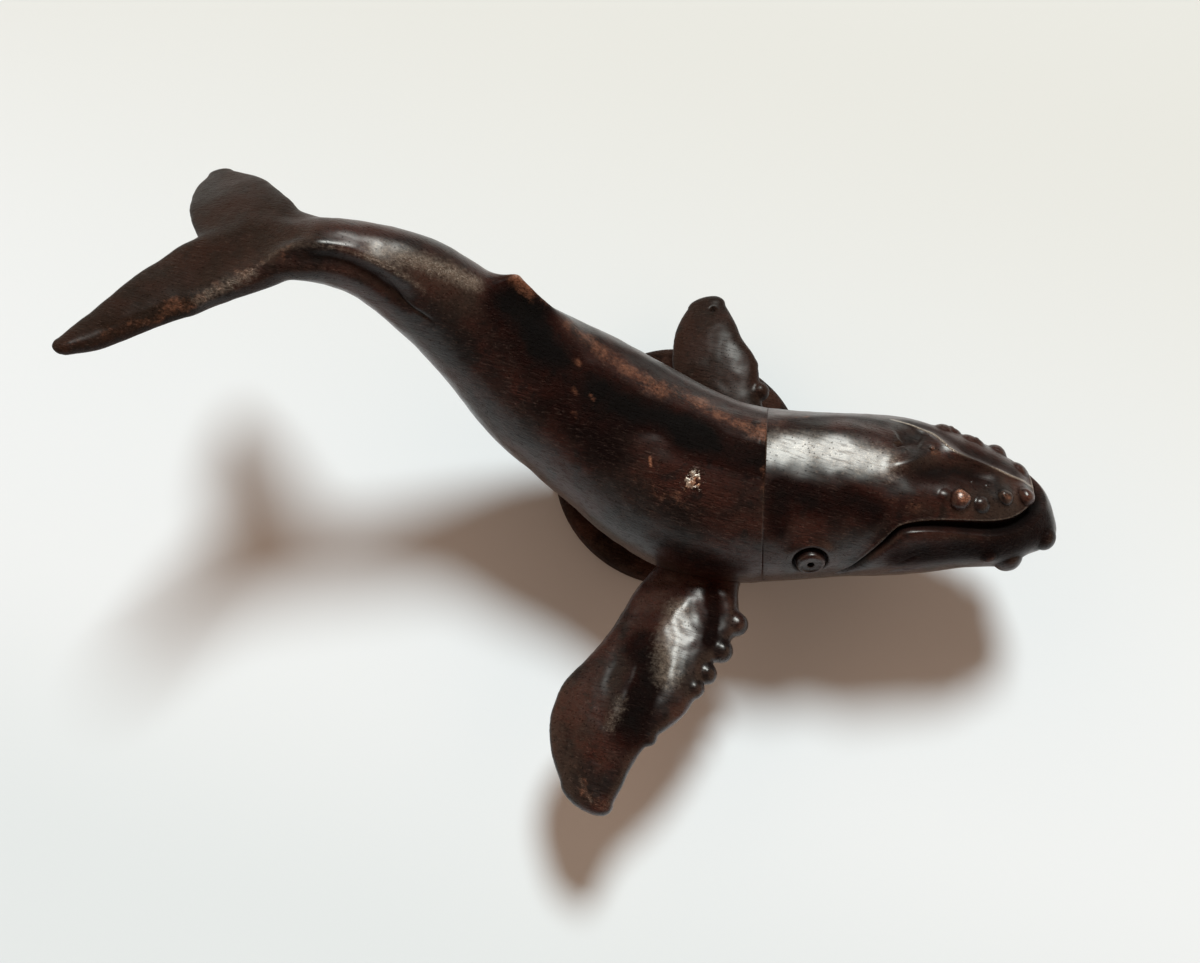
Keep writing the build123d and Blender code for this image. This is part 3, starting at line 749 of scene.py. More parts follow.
# The keel and the undercut below it, in rows like the head's
STOCK_RIDGES = (
    (KEEL_PIXELS, 0.36, 0.85, 0.2, 0.12),
    (((285, 262), (305, 257), (327, 257), (352, 264), (372, 275), (392, 290), (415, 312)), -0.5, 0.9, 0.2),
)
BODY_PATCHES = (
    # Black patina under the fin and along the back
    ("black_patina_and_shade", 2.6, 0.8, ((510, 302), (519, 308), (527, 313))),
    ("black_patina_and_shade", 2.2, 0.75, ((543, 350), (549, 353), (555, 356))),
    ("black_patina_and_shade", 2.0, 0.7, ((596, 388), (605, 394), (614, 400))),
    ("black_patina_and_shade", 1.6, 0.7, ((636, 413), (655, 416), (674, 421), (700, 434))),
    # Painted shade above the flipper's root
    ("black_patina_and_shade", 2.0, 0.28, ((684, 560), (700, 562), (735, 566))),
    # Darkens and dulls the side below the third patch
    ("black_patina_and_shade", 2.2, 0.35, ((560, 400), (585, 425), (610, 450))),
    # Painted shade on the shoulder
    ("black_patina_and_shade", 2.0, 0.5, ((690, 438), (715, 448), (740, 455), (765, 462))),
    # Broad rows that darken and dull the back round the patches, and the flank
    ("black_patina_and_shade", 4.0, 0.22, ((530, 330), (570, 356), (610, 385), (650, 410), (700, 436), (745, 452))),
    ("black_patina_and_shade", 4.0, 0.12, ((440, 310), (480, 350), (520, 400), (560, 450), (620, 500), (700, 520))),
    # Painted highlight along the tail stock
    ("bare_and_highlight", 1.3, 0.42, ((376, 248), (410, 258), (444, 270), (474, 283))),
    # Painted shade along the back's far edge
    ("black_patina_and_shade", 1.5, 0.28, ((600, 341), (650, 364), (700, 391), (740, 408), (770, 415))),
    # Copper wear
    ("wear_and_glint", 1.4, 0.48, ((572, 328), (600, 348), (622, 366), (652, 384), (686, 396), (727, 418), (758, 432))),
    ("wear_and_glint", 0.55, 0.5, ((577, 360), (579, 363))),
    ("wear_and_glint", 0.45, 0.45, ((573, 390), (576, 394))),
    ("wear_and_glint", 0.45, 0.4, ((573, 412), (576, 416))),
    ("wear_and_glint", 0.35, 0.5, ((591, 396), (593, 399))),
    ("wear_and_glint", 0.22, 0.9, ((650, 458), (651, 466))),
    ("wear_and_glint", 2.2, 0.2, ((640, 490), (664, 492), (700, 505))),
)
NECK_BAND_PIXELS = ((764, 424), (766, 440), (767, 456), (767, 475), (768, 495))
BAND_RISE, BAND_BUMPS, BAND_WIDTH = 0.10, 0.16, 0.7
BAND_WORN, BAND_WORN_WIDTH = 0.3, 0.8
BAND_REACH = 2.0
BACK_SEAM = ((((386, 278), (398, 296), (412, 308), (424, 315), (436, 323)), -0.16, 0.16, 0.3),)
OVERLAP = 0.06           # of the body under the flukes' stem
STEM_END = (-0.500, -0.030, 0.205)        # the notch between the flukes, as shares of the length


def raise_fin(skin, ahead, across, above, back, forward):
    """The dorsal fin: a long front slope, a short rear one and a tip that leans back."""
    front = np.clip(1 - ahead / FIN_FRONT, 0, 1) ** 1.8 * (ahead >= 0)
    rear = smooth_step(-FIN_REAR, 0.0, ahead) * (ahead < 0)
    profile = front + rear
    width = FIN_HALF_WIDTH - FIN_NARROWS * profile
    height = FIN_HEIGHT * profile * bell(across, width) * above
    skin.points = skin.points + back * height[:, None] - forward * (FIN_LEANS * height**2)[:, None]
    share = np.clip(height / FIN_HEIGHT, 0, 1)
    # Copper wear up the fin, and a painted highlight at its very tip
    skin.mark("wear_and_glint", share**2)
    skin.mark("bare_and_highlight", 0.45 * share**8)


def shape_body():
    """Shoulders, back and tail stock, with the dorsal fin and the seams."""
    torso = Torso(0, NECK_ROW, BODY_RINGS, BODY_AROUND)
    skin = closed_tube(torso.points, BODY_RINGS, BODY_AROUND)
    skin.tree = tree_of(skin)
    ring = np.append(torso.ring_of, (0, BODY_RINGS - 1))
    back, forward = torso.back[ring], torso.forward[ring]
    offset = skin.points - torso.centre[ring]
    across = (offset * torso.left[ring]).sum(axis=1)
    raised = (offset * back).sum(axis=1)
    above = smooth_step(0, 1.5, raised)
    # In lengths of the flukes' stem, below 0 on the body's side of the joint
    past_joint = (GIRTHS[0][0] - torso.ahead[ring]) / (GIRTHS[0][0] - STEM_END[0])
    skin.points = skin.points - back * (raised * (1 - flatness(past_joint)))[:, None]
    ahead = (torso.ahead[ring] - FIN_AHEAD) * WHALE_LENGTH
    raise_fin(skin, ahead, across, above, back, forward)
    skin.ridges(BACK_SEAM)
    # A rough band of brazing along the neck, which fades before the joint's plane
    gaps = skin.gap(skin.path(NECK_BAND_PIXELS), BAND_REACH)[0]
    bumps = np.array([noise.noise(Vector(point) / BAND_WIDTH) for point in skin.points])
    fade = smooth_step(0.1, 0.8, np.abs((skin.points - torso.centre[-1]) @ torso.forward[-1]))
    skin.push((BAND_RISE + BAND_BUMPS * bumps) * bell(gaps, BAND_WIDTH) * fade)
    skin.mark("wear_and_glint", BAND_WORN * bell(gaps, BAND_WORN_WIDTH))
    skin.unevenness(*WAX_SWELLS)
    collar(skin, torso)
    skin.patches(BODY_PATCHES)
    skin.mark("matt", fading(skin))
    # The last stretch dips under the flukes' stem
    skin.push(-OVERLAP * smooth_step(0.8, 0.0, torso_row(torso)[ring]))
    return skin


WAX_FADES = (-0.350, -0.440)      # where the wax starts to go and has gone, as shares of the length
NOTCH_FLAT = 0.93
FLAT_FROM = -0.25


def fading(skin):
    """How far the wax has gone towards the flukes."""
    return 0.75 * smooth_step(*WAX_FADES, skin.points[:, 0] / WHALE_LENGTH)


def flatness(share):
    """The stem's height on its way to the notch, where share is 0 at the joint and 1 at the notch."""
    return 1 - NOTCH_FLAT * smooth_step(FLAT_FROM, 1, share)


def torso_row(torso):
    """How far each ring lies from the tail's first girth, in girths."""
    return np.interp(torso.ahead, [row[0] for row in GIRTHS[:3]], (0, 1, 2))


# Flukes

# Leading edge and trailing edge, each ahead, left and up, then the thickness, all as shares of the length
RIGHT_LOBE = (
    ((-0.392, -0.020, 0.209), (-0.515, -0.030, 0.206), 0.030),
    ((-0.418, -0.050, 0.206), (-0.530, -0.046, 0.207), 0.027),
    ((-0.450, -0.080, 0.206), (-0.541, -0.068, 0.210), 0.024),
    ((-0.480, -0.112, 0.213), (-0.551, -0.092, 0.218), 0.022),
    ((-0.513, -0.150, 0.225), (-0.564, -0.138, 0.232), 0.020),
    ((-0.541, -0.184, 0.236), (-0.576, -0.172, 0.240), 0.018),
    ((-0.560, -0.199, 0.243), (-0.581, -0.188, 0.245), 0.014),
)
LEFT_LOBE = (
    ((-0.392, -0.004, 0.212), (-0.515, -0.034, 0.203), 0.030),
    ((-0.414, 0.020, 0.205), (-0.535, -0.012, 0.190), 0.026),
    ((-0.438, 0.040, 0.196), (-0.552, 0.010, 0.178), 0.022),
    ((-0.470, 0.060, 0.182), (-0.566, 0.036, 0.161), 0.018),
    ((-0.506, 0.077, 0.163), (-0.572, 0.058, 0.147), 0.015),
    ((-0.537, 0.085, 0.148), (-0.570, 0.074, 0.141), 0.012),
)
FLUKE_PATCHES = (
    ("wear_and_glint", 1.0, 0.28, ((290, 250), (268, 256), (256, 264), (240, 273), (222, 284), (200, 299))),
    ("wear_and_glint", 0.9, 0.30, ((200, 299), (165, 315), (127, 327), (97, 336), (70, 346))),
    ("wear_and_glint", 0.9, 0.3, ((176, 300), (170, 303))),
    ("matt", 1.2, -0.7, ((290, 252), (262, 264), (240, 275), (222, 286), (203, 298))),
    ("matt", 1.4, 0.25, ((182, 297), (160, 306), (135, 316), (105, 326))),
    # Painted highlight along the leading edge
    ("bare_and_highlight", 1.0, 0.32, ((200, 299), (216, 290), (234, 281), (250, 273))),
)
# Pixels and radii of the ends of a swell at the stem's far edge.
EDGE_FILL = ((316, 237, 2.1), (266, 216, 1.5))
EDGE_FILL_SUNK = 1.3
EDGE_FILL_BALLS = 10
# Pixels and radii of the ends of two swells that carry the stem into the lobes.
FILLS = (((264, 258, 1.8), (186, 299, 1.3)), ((297, 229, 2.2), (246, 214, 1.0)))
FILL_SUNK = 0.95         # as a share of the radius
FILL_BALLS = 14
# The middle of the lobes' root, which is smoothed more than the rest
ROOT_PIXEL = (236, 252)
ROOT_ROUNDS = 140
ROOT_REACH = 5.5
STOCK_RINGS = 40         # of the tail stock's first stretch, and the last of them that the stem covers
STOCK_COVERED = 30
STEM_AROUND = 80
STEM_RINGS = 60
STEM_SPREADS = 0.7       # on its way to the notch
STEM_FULL = 1.015        # makes up for what the smoothing takes off
STEM_TAPER = 0.045       # of its far end, which sinks into the tail stock
LOBE_AROUND = 56
LOBE_TIP = 1.4
FLUKE_GRAIN = 0.16
FLUKE_ROUNDS = 24


def at_lengths(rows):
    """Rows of a lobe in millimetres: leading edge, trailing edge and thickness."""
    return [(at_length(*lead), at_length(*trail), share * WHALE_LENGTH) for lead, trail, share in rows]


def swell(places, radii, count):
    """Balls in a row from one place to another, whose radius changes on the way."""
    return [
        globe(places[0] + (places[1] - places[0]) * share, radii[0] + (radii[1] - radii[0]) * share)
        for share in np.linspace(0, 1, count)
    ]


def shape_stem(torso):
    """A flat stem from the tail stock to the notch, flattened as the body's last stretch is."""
    start, end = torso.centre[0], at_length(*STEM_END)
    back, left = torso.back[0], torso.left[0]
    first = torso.points[:STEM_AROUND] - start
    rings = []
    for index in range(STOCK_COVERED, 0, -1):
        size = STEM_FULL - STEM_TAPER * smooth_step(0.0, 0.75, index / (STOCK_RINGS - 1))
        ring = torso.points.reshape(STOCK_RINGS, STEM_AROUND, 3)[index] - torso.centre[index]
        share = -np.linalg.norm(torso.centre[index] - start) / np.linalg.norm(end - start)
        ring = ring - (ring @ torso.back[index])[:, None] * torso.back[index] * (1 - flatness(share))
        rings.append(torso.centre[index] + ring * size)
    for share in np.linspace(0, 1, STEM_RINGS):
        up = (first @ back)[:, None] * back * flatness(share)
        ring = up + (first @ left)[:, None] * left * (1 + STEM_SPREADS * share)
        rings.append(start + (end - start) * share + ring * STEM_FULL)
    return closed_tube(np.concatenate(rings[::-1]), len(rings), STEM_AROUND)


def shape_flukes():
    """Both lobes and their stem, run together with balls that fill the corners between them."""
    torso = Torso(0, 1, STOCK_RINGS, STEM_AROUND)
    stem = shape_stem(torso)
    both_rows = (at_lengths(rows) for rows in (RIGHT_LOBE, LEFT_LOBE))
    lobes = [blade(rows, LOBE_AROUND, torso.back[0], LOBE_TIP) for rows in both_rows]
    stem.tree = tree_of(stem, *lobes)
    fills = []
    for ends in FILLS:
        places = []
        for x, y, radius in ends:
            ray = Vector(pixel_ray(x, y))
            hit, out = stem.tree.ray_cast(Vector(EYE_POINT), ray)[:2]
            outward = out if out.dot(ray) < 0 else -out
            places.append(np.array(hit) - np.array(outward) * FILL_SUNK * radius)
        fills += swell(places, [end[2] for end in ends], FILL_BALLS)
    middles = [np.add(lead, trail) / 2 for lead, trail, thickness in at_lengths(LEFT_LOBE)]
    middle_line = through([torso.centre[0], *middles])
    places = [near_ray(middle_line, x, y) + EDGE_FILL_SUNK * pixel_ray(x, y) for x, y, radius in EDGE_FILL]
    fills += swell(places, [end[2] for end in EDGE_FILL], EDGE_FILL_BALLS)
    root = stem.at_pixel(*ROOT_PIXEL)
    skin = joined([stem, *lobes, *fills], FLUKE_GRAIN, FLUKE_ROUNDS)
    skin.smooth(ROOT_ROUNDS, np.exp(-((np.linalg.norm(skin.points - root, axis=1) / ROOT_REACH) ** 4)))
    skin.out = skin.normals()
    skin.unevenness(*WAX_SWELLS)
    skin.mark("matt", fading(skin))
    return skin


# Flippers

# Sections from root to tip, as shares of the length: outward, half width, forward sweep, rise and thickness
FLIPPER_ROWS = (
    (-0.10, 0.155, 0.004, -0.010, 0.150),
    (0.00, 0.168, 0.008, 0.000, 0.150),
    (0.14, 0.213, 0.014, 0.010, 0.130),
    (0.28, 0.204, -0.006, 0.030, 0.120),
    (0.43, 0.214, -0.030, 0.050, 0.110),
    (0.57, 0.224, -0.070, 0.065, 0.105),
    (0.68, 0.194, -0.108, 0.065, 0.100),
    (0.79, 0.168, -0.106, 0.055, 0.092),
    (0.88, 0.134, -0.082, 0.040, 0.085),
    (0.93, 0.108, -0.060, 0.034, 0.078),
)
FLIPPER_AROUND = 64
TIP_REACH = 0.075
# Knobs on the leading edges: the pixel of their middle and their radius in millimetres.
NEAR_KNOBS = (
    (736, 624, 1.3), (721, 651, 1.35), (707, 673, 1.15), (694, 689, 1.1), (679, 704, 1.05), (648, 737, 1.0)
)
FAR_KNOBS = ((750, 366, 1.0), (760, 392, 1.2))
KNOB_ROOTED = 1.2        # how deep a knob's neck goes into the blade
KNOB_NECK = ((0.0, 1.0), (0.25, 0.92), (0.5, 0.9), (0.75, 0.9), (1.0, 0.9))       # place along it and girth


def flipper_frame(heading, side):
    """Ways out, forward and up of a flipper, from its turn, climb and dip in degrees."""
    turn, climb, dip = (radians(angle) for angle in heading)
    out = np.array((cos(climb) * cos(turn), cos(climb) * sin(turn), sin(climb)))
    fore = unit(np.cross(out * side, (0, 0, 1)))
    tilt = -dip * side
    fore = fore * cos(tilt) + np.cross(out, fore) * sin(tilt)
    return out, fore, np.cross(fore, out * side)


def shape_flipper(root, heading, length, sweep_share, side):
    """The flipper's blade, its leading edge as a line, and its forward way."""
    out, fore, lift = flipper_frame(heading, side)
    rows = []
    for out_share, half, sweep, rise, thick in FLIPPER_ROWS:
        middle = root + (out * out_share + fore * sweep * sweep_share + lift * rise) * length
        rows.append((middle + fore * half * length, middle - fore * half * length, thick * length))
    leads = through([lead for lead, trail, thick in rows])
    return blade(rows, FLIPPER_AROUND, lift, TIP_REACH * length), leads, fore


def knobs_on(leads, fore, knobs):
    """Knobs with their necks, drawn out of the leading edge."""
    forms = []
    for x, y, radius in knobs:
        outer = near_ray(leads, x, y)
        inner = leads[np.argmin(np.linalg.norm(leads - outer, axis=1))] - fore * KNOB_ROOTED
        for share, size in KNOB_NECK:
            forms.append(globe(outer + (inner - outer) * share, radius * size, 20, 28))
    return forms


# Root, heading in degrees, length and share of the sweep, and which side
RIGHT_FLIPPER = (np.array((6.15, -16.12, 11.68)), (-96, 2, 5), 27.8, 1.0, -1)
LEFT_FLIPPER = (np.array((6.32, -0.25, 7.14)), (112, -2, 2), 21.8, 0.45, 1)
TOP_RIDGE_PIXELS = (
    (696, 580), (690, 592), (674, 614), (657, 632), (643, 652), (631, 672), (623, 695), (617, 716), (606, 734)
)
TIP_PIXELS = ((579, 776), (585, 790), (592, 801), (600, 807), (607, 805))
# Pixels, the ridge along them as height, width and fading ends, and the paint as mask, width and strength
RIGHT_FLIPPER_LINES = (
    # Painted shade in the two valleys
    (((642, 646), (650, 664), (646, 684), (637, 706), (629, 730)), (-0.18, 1.3, 0.25), ("black_patina_and_shade", 2.1, 0.65)),
    (((712, 592), (713, 606), (714, 620), (708, 640)), (-0.28, 1.3, 0.35), ("black_patina_and_shade", 1.1, 0.55)),
    # A painted highlight on the plateau, and a painted glint on the ridge
    (((678, 612), (672, 634), (667, 656), (668, 676)), (0.3, 2.2), ("bare_and_highlight", 1.9, 0.42)),
    (((620, 702), (616, 714), (610, 726)), None, ("bare_and_highlight", 1.1, 0.28)),
    (TOP_RIDGE_PIXELS, (0.24, 1.2, 0.15), None),
    # A painted copper glint and a painted highlight along the tip
    (TIP_PIXELS, None, ("wear_and_glint", 0.8, 0.42)),
    (TIP_PIXELS, None, ("bare_and_highlight", 0.4, 0.2)),
    (((590, 752), (598, 762), (606, 764)), (-0.1, 0.3, 0.4), None),
)


def shape_right_flipper():
    form, leads, fore = shape_flipper(*RIGHT_FLIPPER)
    skin = joined([form, *knobs_on(leads, fore, NEAR_KNOBS)], grain=0.155, rounds=12)
    skin.tree = tree_of(skin)
    for pixels, ridge, paint in RIGHT_FLIPPER_LINES:
        if ridge:
            skin.ridge(skin.path(pixels), *ridge, toward=UP)
        if paint:
            mask, width, amount = paint
            skin.paint(mask, skin.path(pixels), width, amount)
    skin.unevenness((3.0, 0.14, 3), (1.0, 0.04, 4))
    return skin


PIT_PIXEL = (713, 309)


def shape_left_flipper():
    form, leads, fore = shape_flipper(*LEFT_FLIPPER)
    skin = joined([form, *knobs_on(leads, fore, FAR_KNOBS)], grain=0.15, rounds=10)
    skin.tree = tree_of(skin)
    skin.ridge(skin.at_pixel(*PIT_PIXEL)[None], -0.5, 0.3)
    skin.unevenness((3.0, 0.12, 5), (1.0, 0.02, 6))
    skin.mark("matt", np.full(len(skin.points), 0.7))
    return skin


# Turned parts


def turned(profile, place, axis, around=72):
    """A closed form turned round an axis, from radius and height pairs that start and end near the axis."""
    axis = unit(np.asarray(axis, float))
    side = unit(np.cross(axis, (0.3, 0.9, 0.2)))
    other = np.cross(axis, side)
    turns = np.arange(around) / around * 2 * pi
    circle = np.cos(turns)[:, None] * side + np.sin(turns)[:, None] * other
    rings = [np.asarray(place) + axis * height + circle * radius for radius, height in profile]
    return closed_tube(np.concatenate(rings), len(rings), around)


def arc(radius_at, height_at, size, start, end, steps=6):
    """Radius and height pairs round a quarter or so of a circle."""
    return [
        (radius_at + size * cos(radians(angle)), height_at + size * sin(radians(angle)))
        for angle in np.linspace(start, end, steps)
    ]


EYE_RADIUS = 1.48
EYE_FACE = 1.12          # radius of the flat face
EYE_ROUNDING = 0.36
EYE_HEIGHT = 0.75
EYE_DEPTH = 1.4          # under the skin
PUPIL = 0.36


def shape_eye(place, out):
    """A round stud with a flat face and a drilled pupil."""
    profile = [(0.01, -EYE_DEPTH), (EYE_RADIUS, -EYE_DEPTH)]
    profile += [(EYE_RADIUS + 0.03, -0.2), (EYE_RADIUS + 0.02, 0.1)]
    profile += arc(EYE_FACE, EYE_HEIGHT - EYE_ROUNDING, EYE_ROUNDING, 8, 82, 9)
    dish = ((0.02, 0), (0.06, 0.03), (0.12, 0.08))
    profile += [(EYE_FACE - inward, EYE_HEIGHT - drop) for inward, drop in dish]
    profile += [(PUPIL + gap, EYE_HEIGHT - drop) for gap, drop in ((0.2, 0.09), (0.05, 0.1), (0, 0.16))]
    profile += [(PUPIL - 0.03, 0.2), (PUPIL - 0.06, 0.0), (0.01, -0.05)]
    skin = turned(profile, place, out, 72)
    radius = np.linalg.norm(np.cross(skin.points - place, unit(out)), axis=1)
    height = (skin.points - place) @ unit(out)
    # Painted shade in the pupil's hole and on the stud's side down in its ring
    skin.mark("painted_shade", smooth_step(PUPIL + 0.06, PUPIL - 0.02, radius) * (height > -0.5))
    skin.mark("painted_shade", 0.8 * smooth_step(0.3, -0.2, height) * (radius > 1.2))
    skin.mark("wear_and_glint", 0.12 * smooth_step(0.5, 0.7, height) * (radius > PUPIL + 0.3))
    skin.unevenness((1.1, 0.05, 7))
    return skin


def shape_disc():
    """The round base."""
    rim, foot = RIM_ROUNDING, FOOT_ROUNDING
    profile = [(0.01, 0.0)] + [(radius, 0.0) for radius in (5, 10, DISC_RADIUS - foot - 0.2)]
    profile += arc(DISC_RADIUS - foot, foot, foot, -90, 0)
    profile += arc(DISC_RADIUS - rim, DISC_THICKNESS - rim, rim, 0, 90, 10)
    profile += [(radius, DISC_THICKNESS) for radius in np.linspace(DISC_RADIUS - rim - 0.3, 0.3, 40)]
    skin = turned(profile, (0, 0, 0), (0, 0, 1), 160)
    # The underside stays flat on the sheet
    uneven = skin.points[:, 2] > FOOT_ROUNDING * 2
    before = skin.points.copy()
    skin.unevenness((4.0, 0.12, 8))
    skin.points = np.where(uneven[:, None], skin.points, before)
    return skin


FOOT_PLACE = (-3.4, -2.6)
FOOT_RADIUS = 3.5
FOOT_TOP = 8.0           # inside the belly
FOOT_FLARE = 0.7         # radius of the fillet where it meets the disc


def shape_foot():
    """The foot boss between the disc and the belly."""
    x, y = FOOT_PLACE
    profile = [(0.01, DISC_THICKNESS), (FOOT_RADIUS + FOOT_FLARE, DISC_THICKNESS)]
    for angle in np.linspace(0.1, pi / 2, 6):
        flare, rise = FOOT_FLARE * (1 - sin(angle)), FOOT_FLARE * (1 - cos(angle))
        profile.append((FOOT_RADIUS + flare, DISC_THICKNESS + 0.02 + rise))
    profile += [(FOOT_RADIUS, FOOT_TOP), (0.01, FOOT_TOP)]
    return turned(profile, (x, y, 0), (0, 0, 1), 64)


def node_middle(node):
    """The middle of a CAD node's box, in millimetres."""
    low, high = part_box(node)
    return np.array((low + high) / 2) / MM


PLUG_RADIUS = 1.45


def shape_plug(body, node):
    """The brazed end of a core plug: a low, rough patch on the skin."""
    index = body.nearest(node_middle(node))
    place, out = body.points[index], body.out[index]
    rings = [(reach, 0.04) for reach in np.linspace(0.02, PLUG_RADIUS, 22)]
    rings += [(PLUG_RADIUS + 0.05, -0.1), (PLUG_RADIUS + 0.05, -0.5), (0.01, -0.6)]
    skin = turned(rings[::-1], place, out, 72)
    offset = skin.points - place
    level = offset - (offset @ out)[:, None] * out
    skin.push(-(level**2).sum(axis=1) / (2 * SHOULDER_RADIUS))
    skin.mark("wear_and_glint", smooth_step(PLUG_RADIUS, 0.4, np.linalg.norm(level, axis=1)))
    skin.unevenness((0.42, 0.16, 9), (0.2, 0.06, 10))
    return skin


# Pieces

head, eye_seats = shape_head()
body = shape_body()
body.tree = tree_of(head, body)
for skin in (head, body):
    skin.ridge(body.path(CROWN_PIXELS), CROWN_RISE, CROWN_WIDTH, ends=0.35)
flukes = shape_flukes()
body.tree = flukes.tree = tree_of(body, flukes)
for skin in (body, flukes):
    # The keel's painted highlight is a finer line than its ridge, so it is painted before the ridge rises
    skin.paint("bare_and_highlight", body.path(KEEL_PIXELS), KEEL_SHINE_WIDTH, KEEL_SHINE)
    for pixels, *shape in STOCK_RIDGES:
        skin.ridge(body.path(pixels), *shape)
flukes.patches(FLUKE_PATCHES)
# Skin, slot and the CAD nodes that it stands for
skins = {
    "head": (head, "dark_bronze", ["head_casting"]),
    "trunk": (body, "dark_bronze", ["body_casting"]),
    "flukes": (flukes, "dark_bronze", ["tail_flukes"]),
    "flipper_right": (shape_right_flipper(), "dark_bronze", ["right_flipper"]),
    "flipper_left": (shape_left_flipper(), "dark_bronze", ["left_flipper"]),
    "foot": (shape_foot(), "dark_bronze", []),
    "disc": (shape_disc(), "base_bronze", ["base_disc"]),
}
for side in ("right", "left"):
    skins[f"eye_{side}"] = (shape_eye(*eye_seats[f"{side}_eye"]), "dark_bronze", [f"{side}_eye"])
    skins[f"plug_{side}"] = (shape_plug(body, f"{side}_core_plug"), "dark_bronze", [f"{side}_core_plug"])

pieces = {}
for name, (skin, slot, nodes) in skins.items():
    piece = skin.mesh_object(name)
    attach(piece, "root")
    if nodes:
        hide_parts(*nodes)
    pieces[name] = piece


# Finishes


class Value:
    """A shader socket that takes part in sums."""

    def __init__(self, tree, socket):
        self.tree, self.socket = tree, socket

    def _math(self, operation, other, swapped=False):
        sides = [other, self] if swapped else [self, other]
        return self.tree.add("ShaderNodeMath", {"operation": operation}, {0: sides[0], 1: sides[1]})

    def __add__(self, other):
        return self._math("ADD", other)

    def __mul__(self, other):
        return self._math("MULTIPLY", other)

    def __sub__(self, other):
        return self._math("SUBTRACT", other)

    def __rsub__(self, other):
        return self._math("SUBTRACT", other, swapped=True)

    def size(self):
        return self.tree.add("ShaderNodeMath", {"operation": "ABSOLUTE"}, {0: self})

    def clamped(self):
        return self.tree.add("ShaderNodeMath", {"operation": "ADD", "use_clamp": True}, {0: self, 1: 0.0})

    __radd__ = __add__
    __rmul__ = __mul__


class Nodes:
    """A node tree that is filled one node at a time."""

    def __init__(self, tree):
        self.nodes, self.links = tree.nodes, tree.links

    def add(self, kind, settings, values, out=0):
        node = self.nodes.new(kind)
        for name, setting in settings.items():
            setattr(node, name, setting)
        for name, value in values.items():
            self.set(node.inputs[name], value)
        return Value(self, node.outputs[out])

    def set(self, socket, value):
        if isinstance(value, Value):
            self.links.new(value.socket, socket)
        else:
            socket.default_value = value

    def noise(self, where, per_mm, detail=3.0, rough=0.55, out=0):
        return self.add("ShaderNodeTexNoise", {}, {
            "Vector": where, "Scale": per_mm, "Detail": detail, "Roughness": rough}, out)

    def ramp(self, value, low, high):
        """0 below low, 1 above high, smooth between."""
        return self.add("ShaderNodeMapRange", {"interpolation_type": "SMOOTHSTEP"}, {
            "Value": value, "From Min": low, "From Max": high, "To Min": 0.0, "To Max": 1.0})

    def mix(self, share, first, second):
        return self.add("ShaderNodeMix", {"data_type": "RGBA"}, {0: share, 6: first, 7: second}, 2)


class Finish(Nodes):
    """A material."""

    def __init__(self, name):
        self.material = bpy.data.materials.new(name)
        self.material.use_nodes = True
        super().__init__(self.material.node_tree)
        self.shader = self.nodes["Principled BSDF"]

    def mask(self, name):
        return self.add("ShaderNodeAttribute", {"attribute_name": name}, {}, "Fac")

    def place(self):
        """Where a point is on the object, in millimetres."""
        metres = self.add("ShaderNodeTexCoord", {}, {}, "Object")
        return self.add("ShaderNodeVectorMath", {"operation": "SCALE"}, {0: metres, "Scale": 1 / MM})

    def bump(self, height, strength, distance):
        settings = {"Height": height, "Strength": strength, "Distance": distance}
        return self.add("ShaderNodeBump", {}, settings)

    def made_of(self, values):
        """Sets the shader's sockets and gives the material."""
        for name, value in values.items():
            self.set(self.shader.inputs[name], value)
        return self.material


def rgb(red, green, blue):
    return (red, green, blue, 1.0)


BLACK_SPOT = rgb(0.004, 0.002, 0.002)
WAX_LOST = rgb(0.019, 0.012, 0.008)
# Dull patina brown, also used as painted shade
DULL_PATINA_AND_SHADE_BROWN = rgb(0.010, 0.0035, 0.003)
SCRATCHED = rgb(0.18, 0.12, 0.10)
# Black patina, also used as painted shade
PATINA_AND_SHADE_BLACK = rgb(0.002, 0.002, 0.002)
COPPER = rgb(0.34, 0.15, 0.09)
# Pale rubbed metal that paints highlights, then the black of painted shade in hollows
BARE_AND_HIGHLIGHT_BRONZE = rgb(0.36, 0.31, 0.26)
PAINTED_SHADE_BLACK = rgb(0.002, 0.0015, 0.0015)
BRAZING = rgb(0.40, 0.37, 0.33)
BRAZING_COPPER = rgb(0.34, 0.18, 0.11)
SCALE = rgb(0.025, 0.010, 0.007)


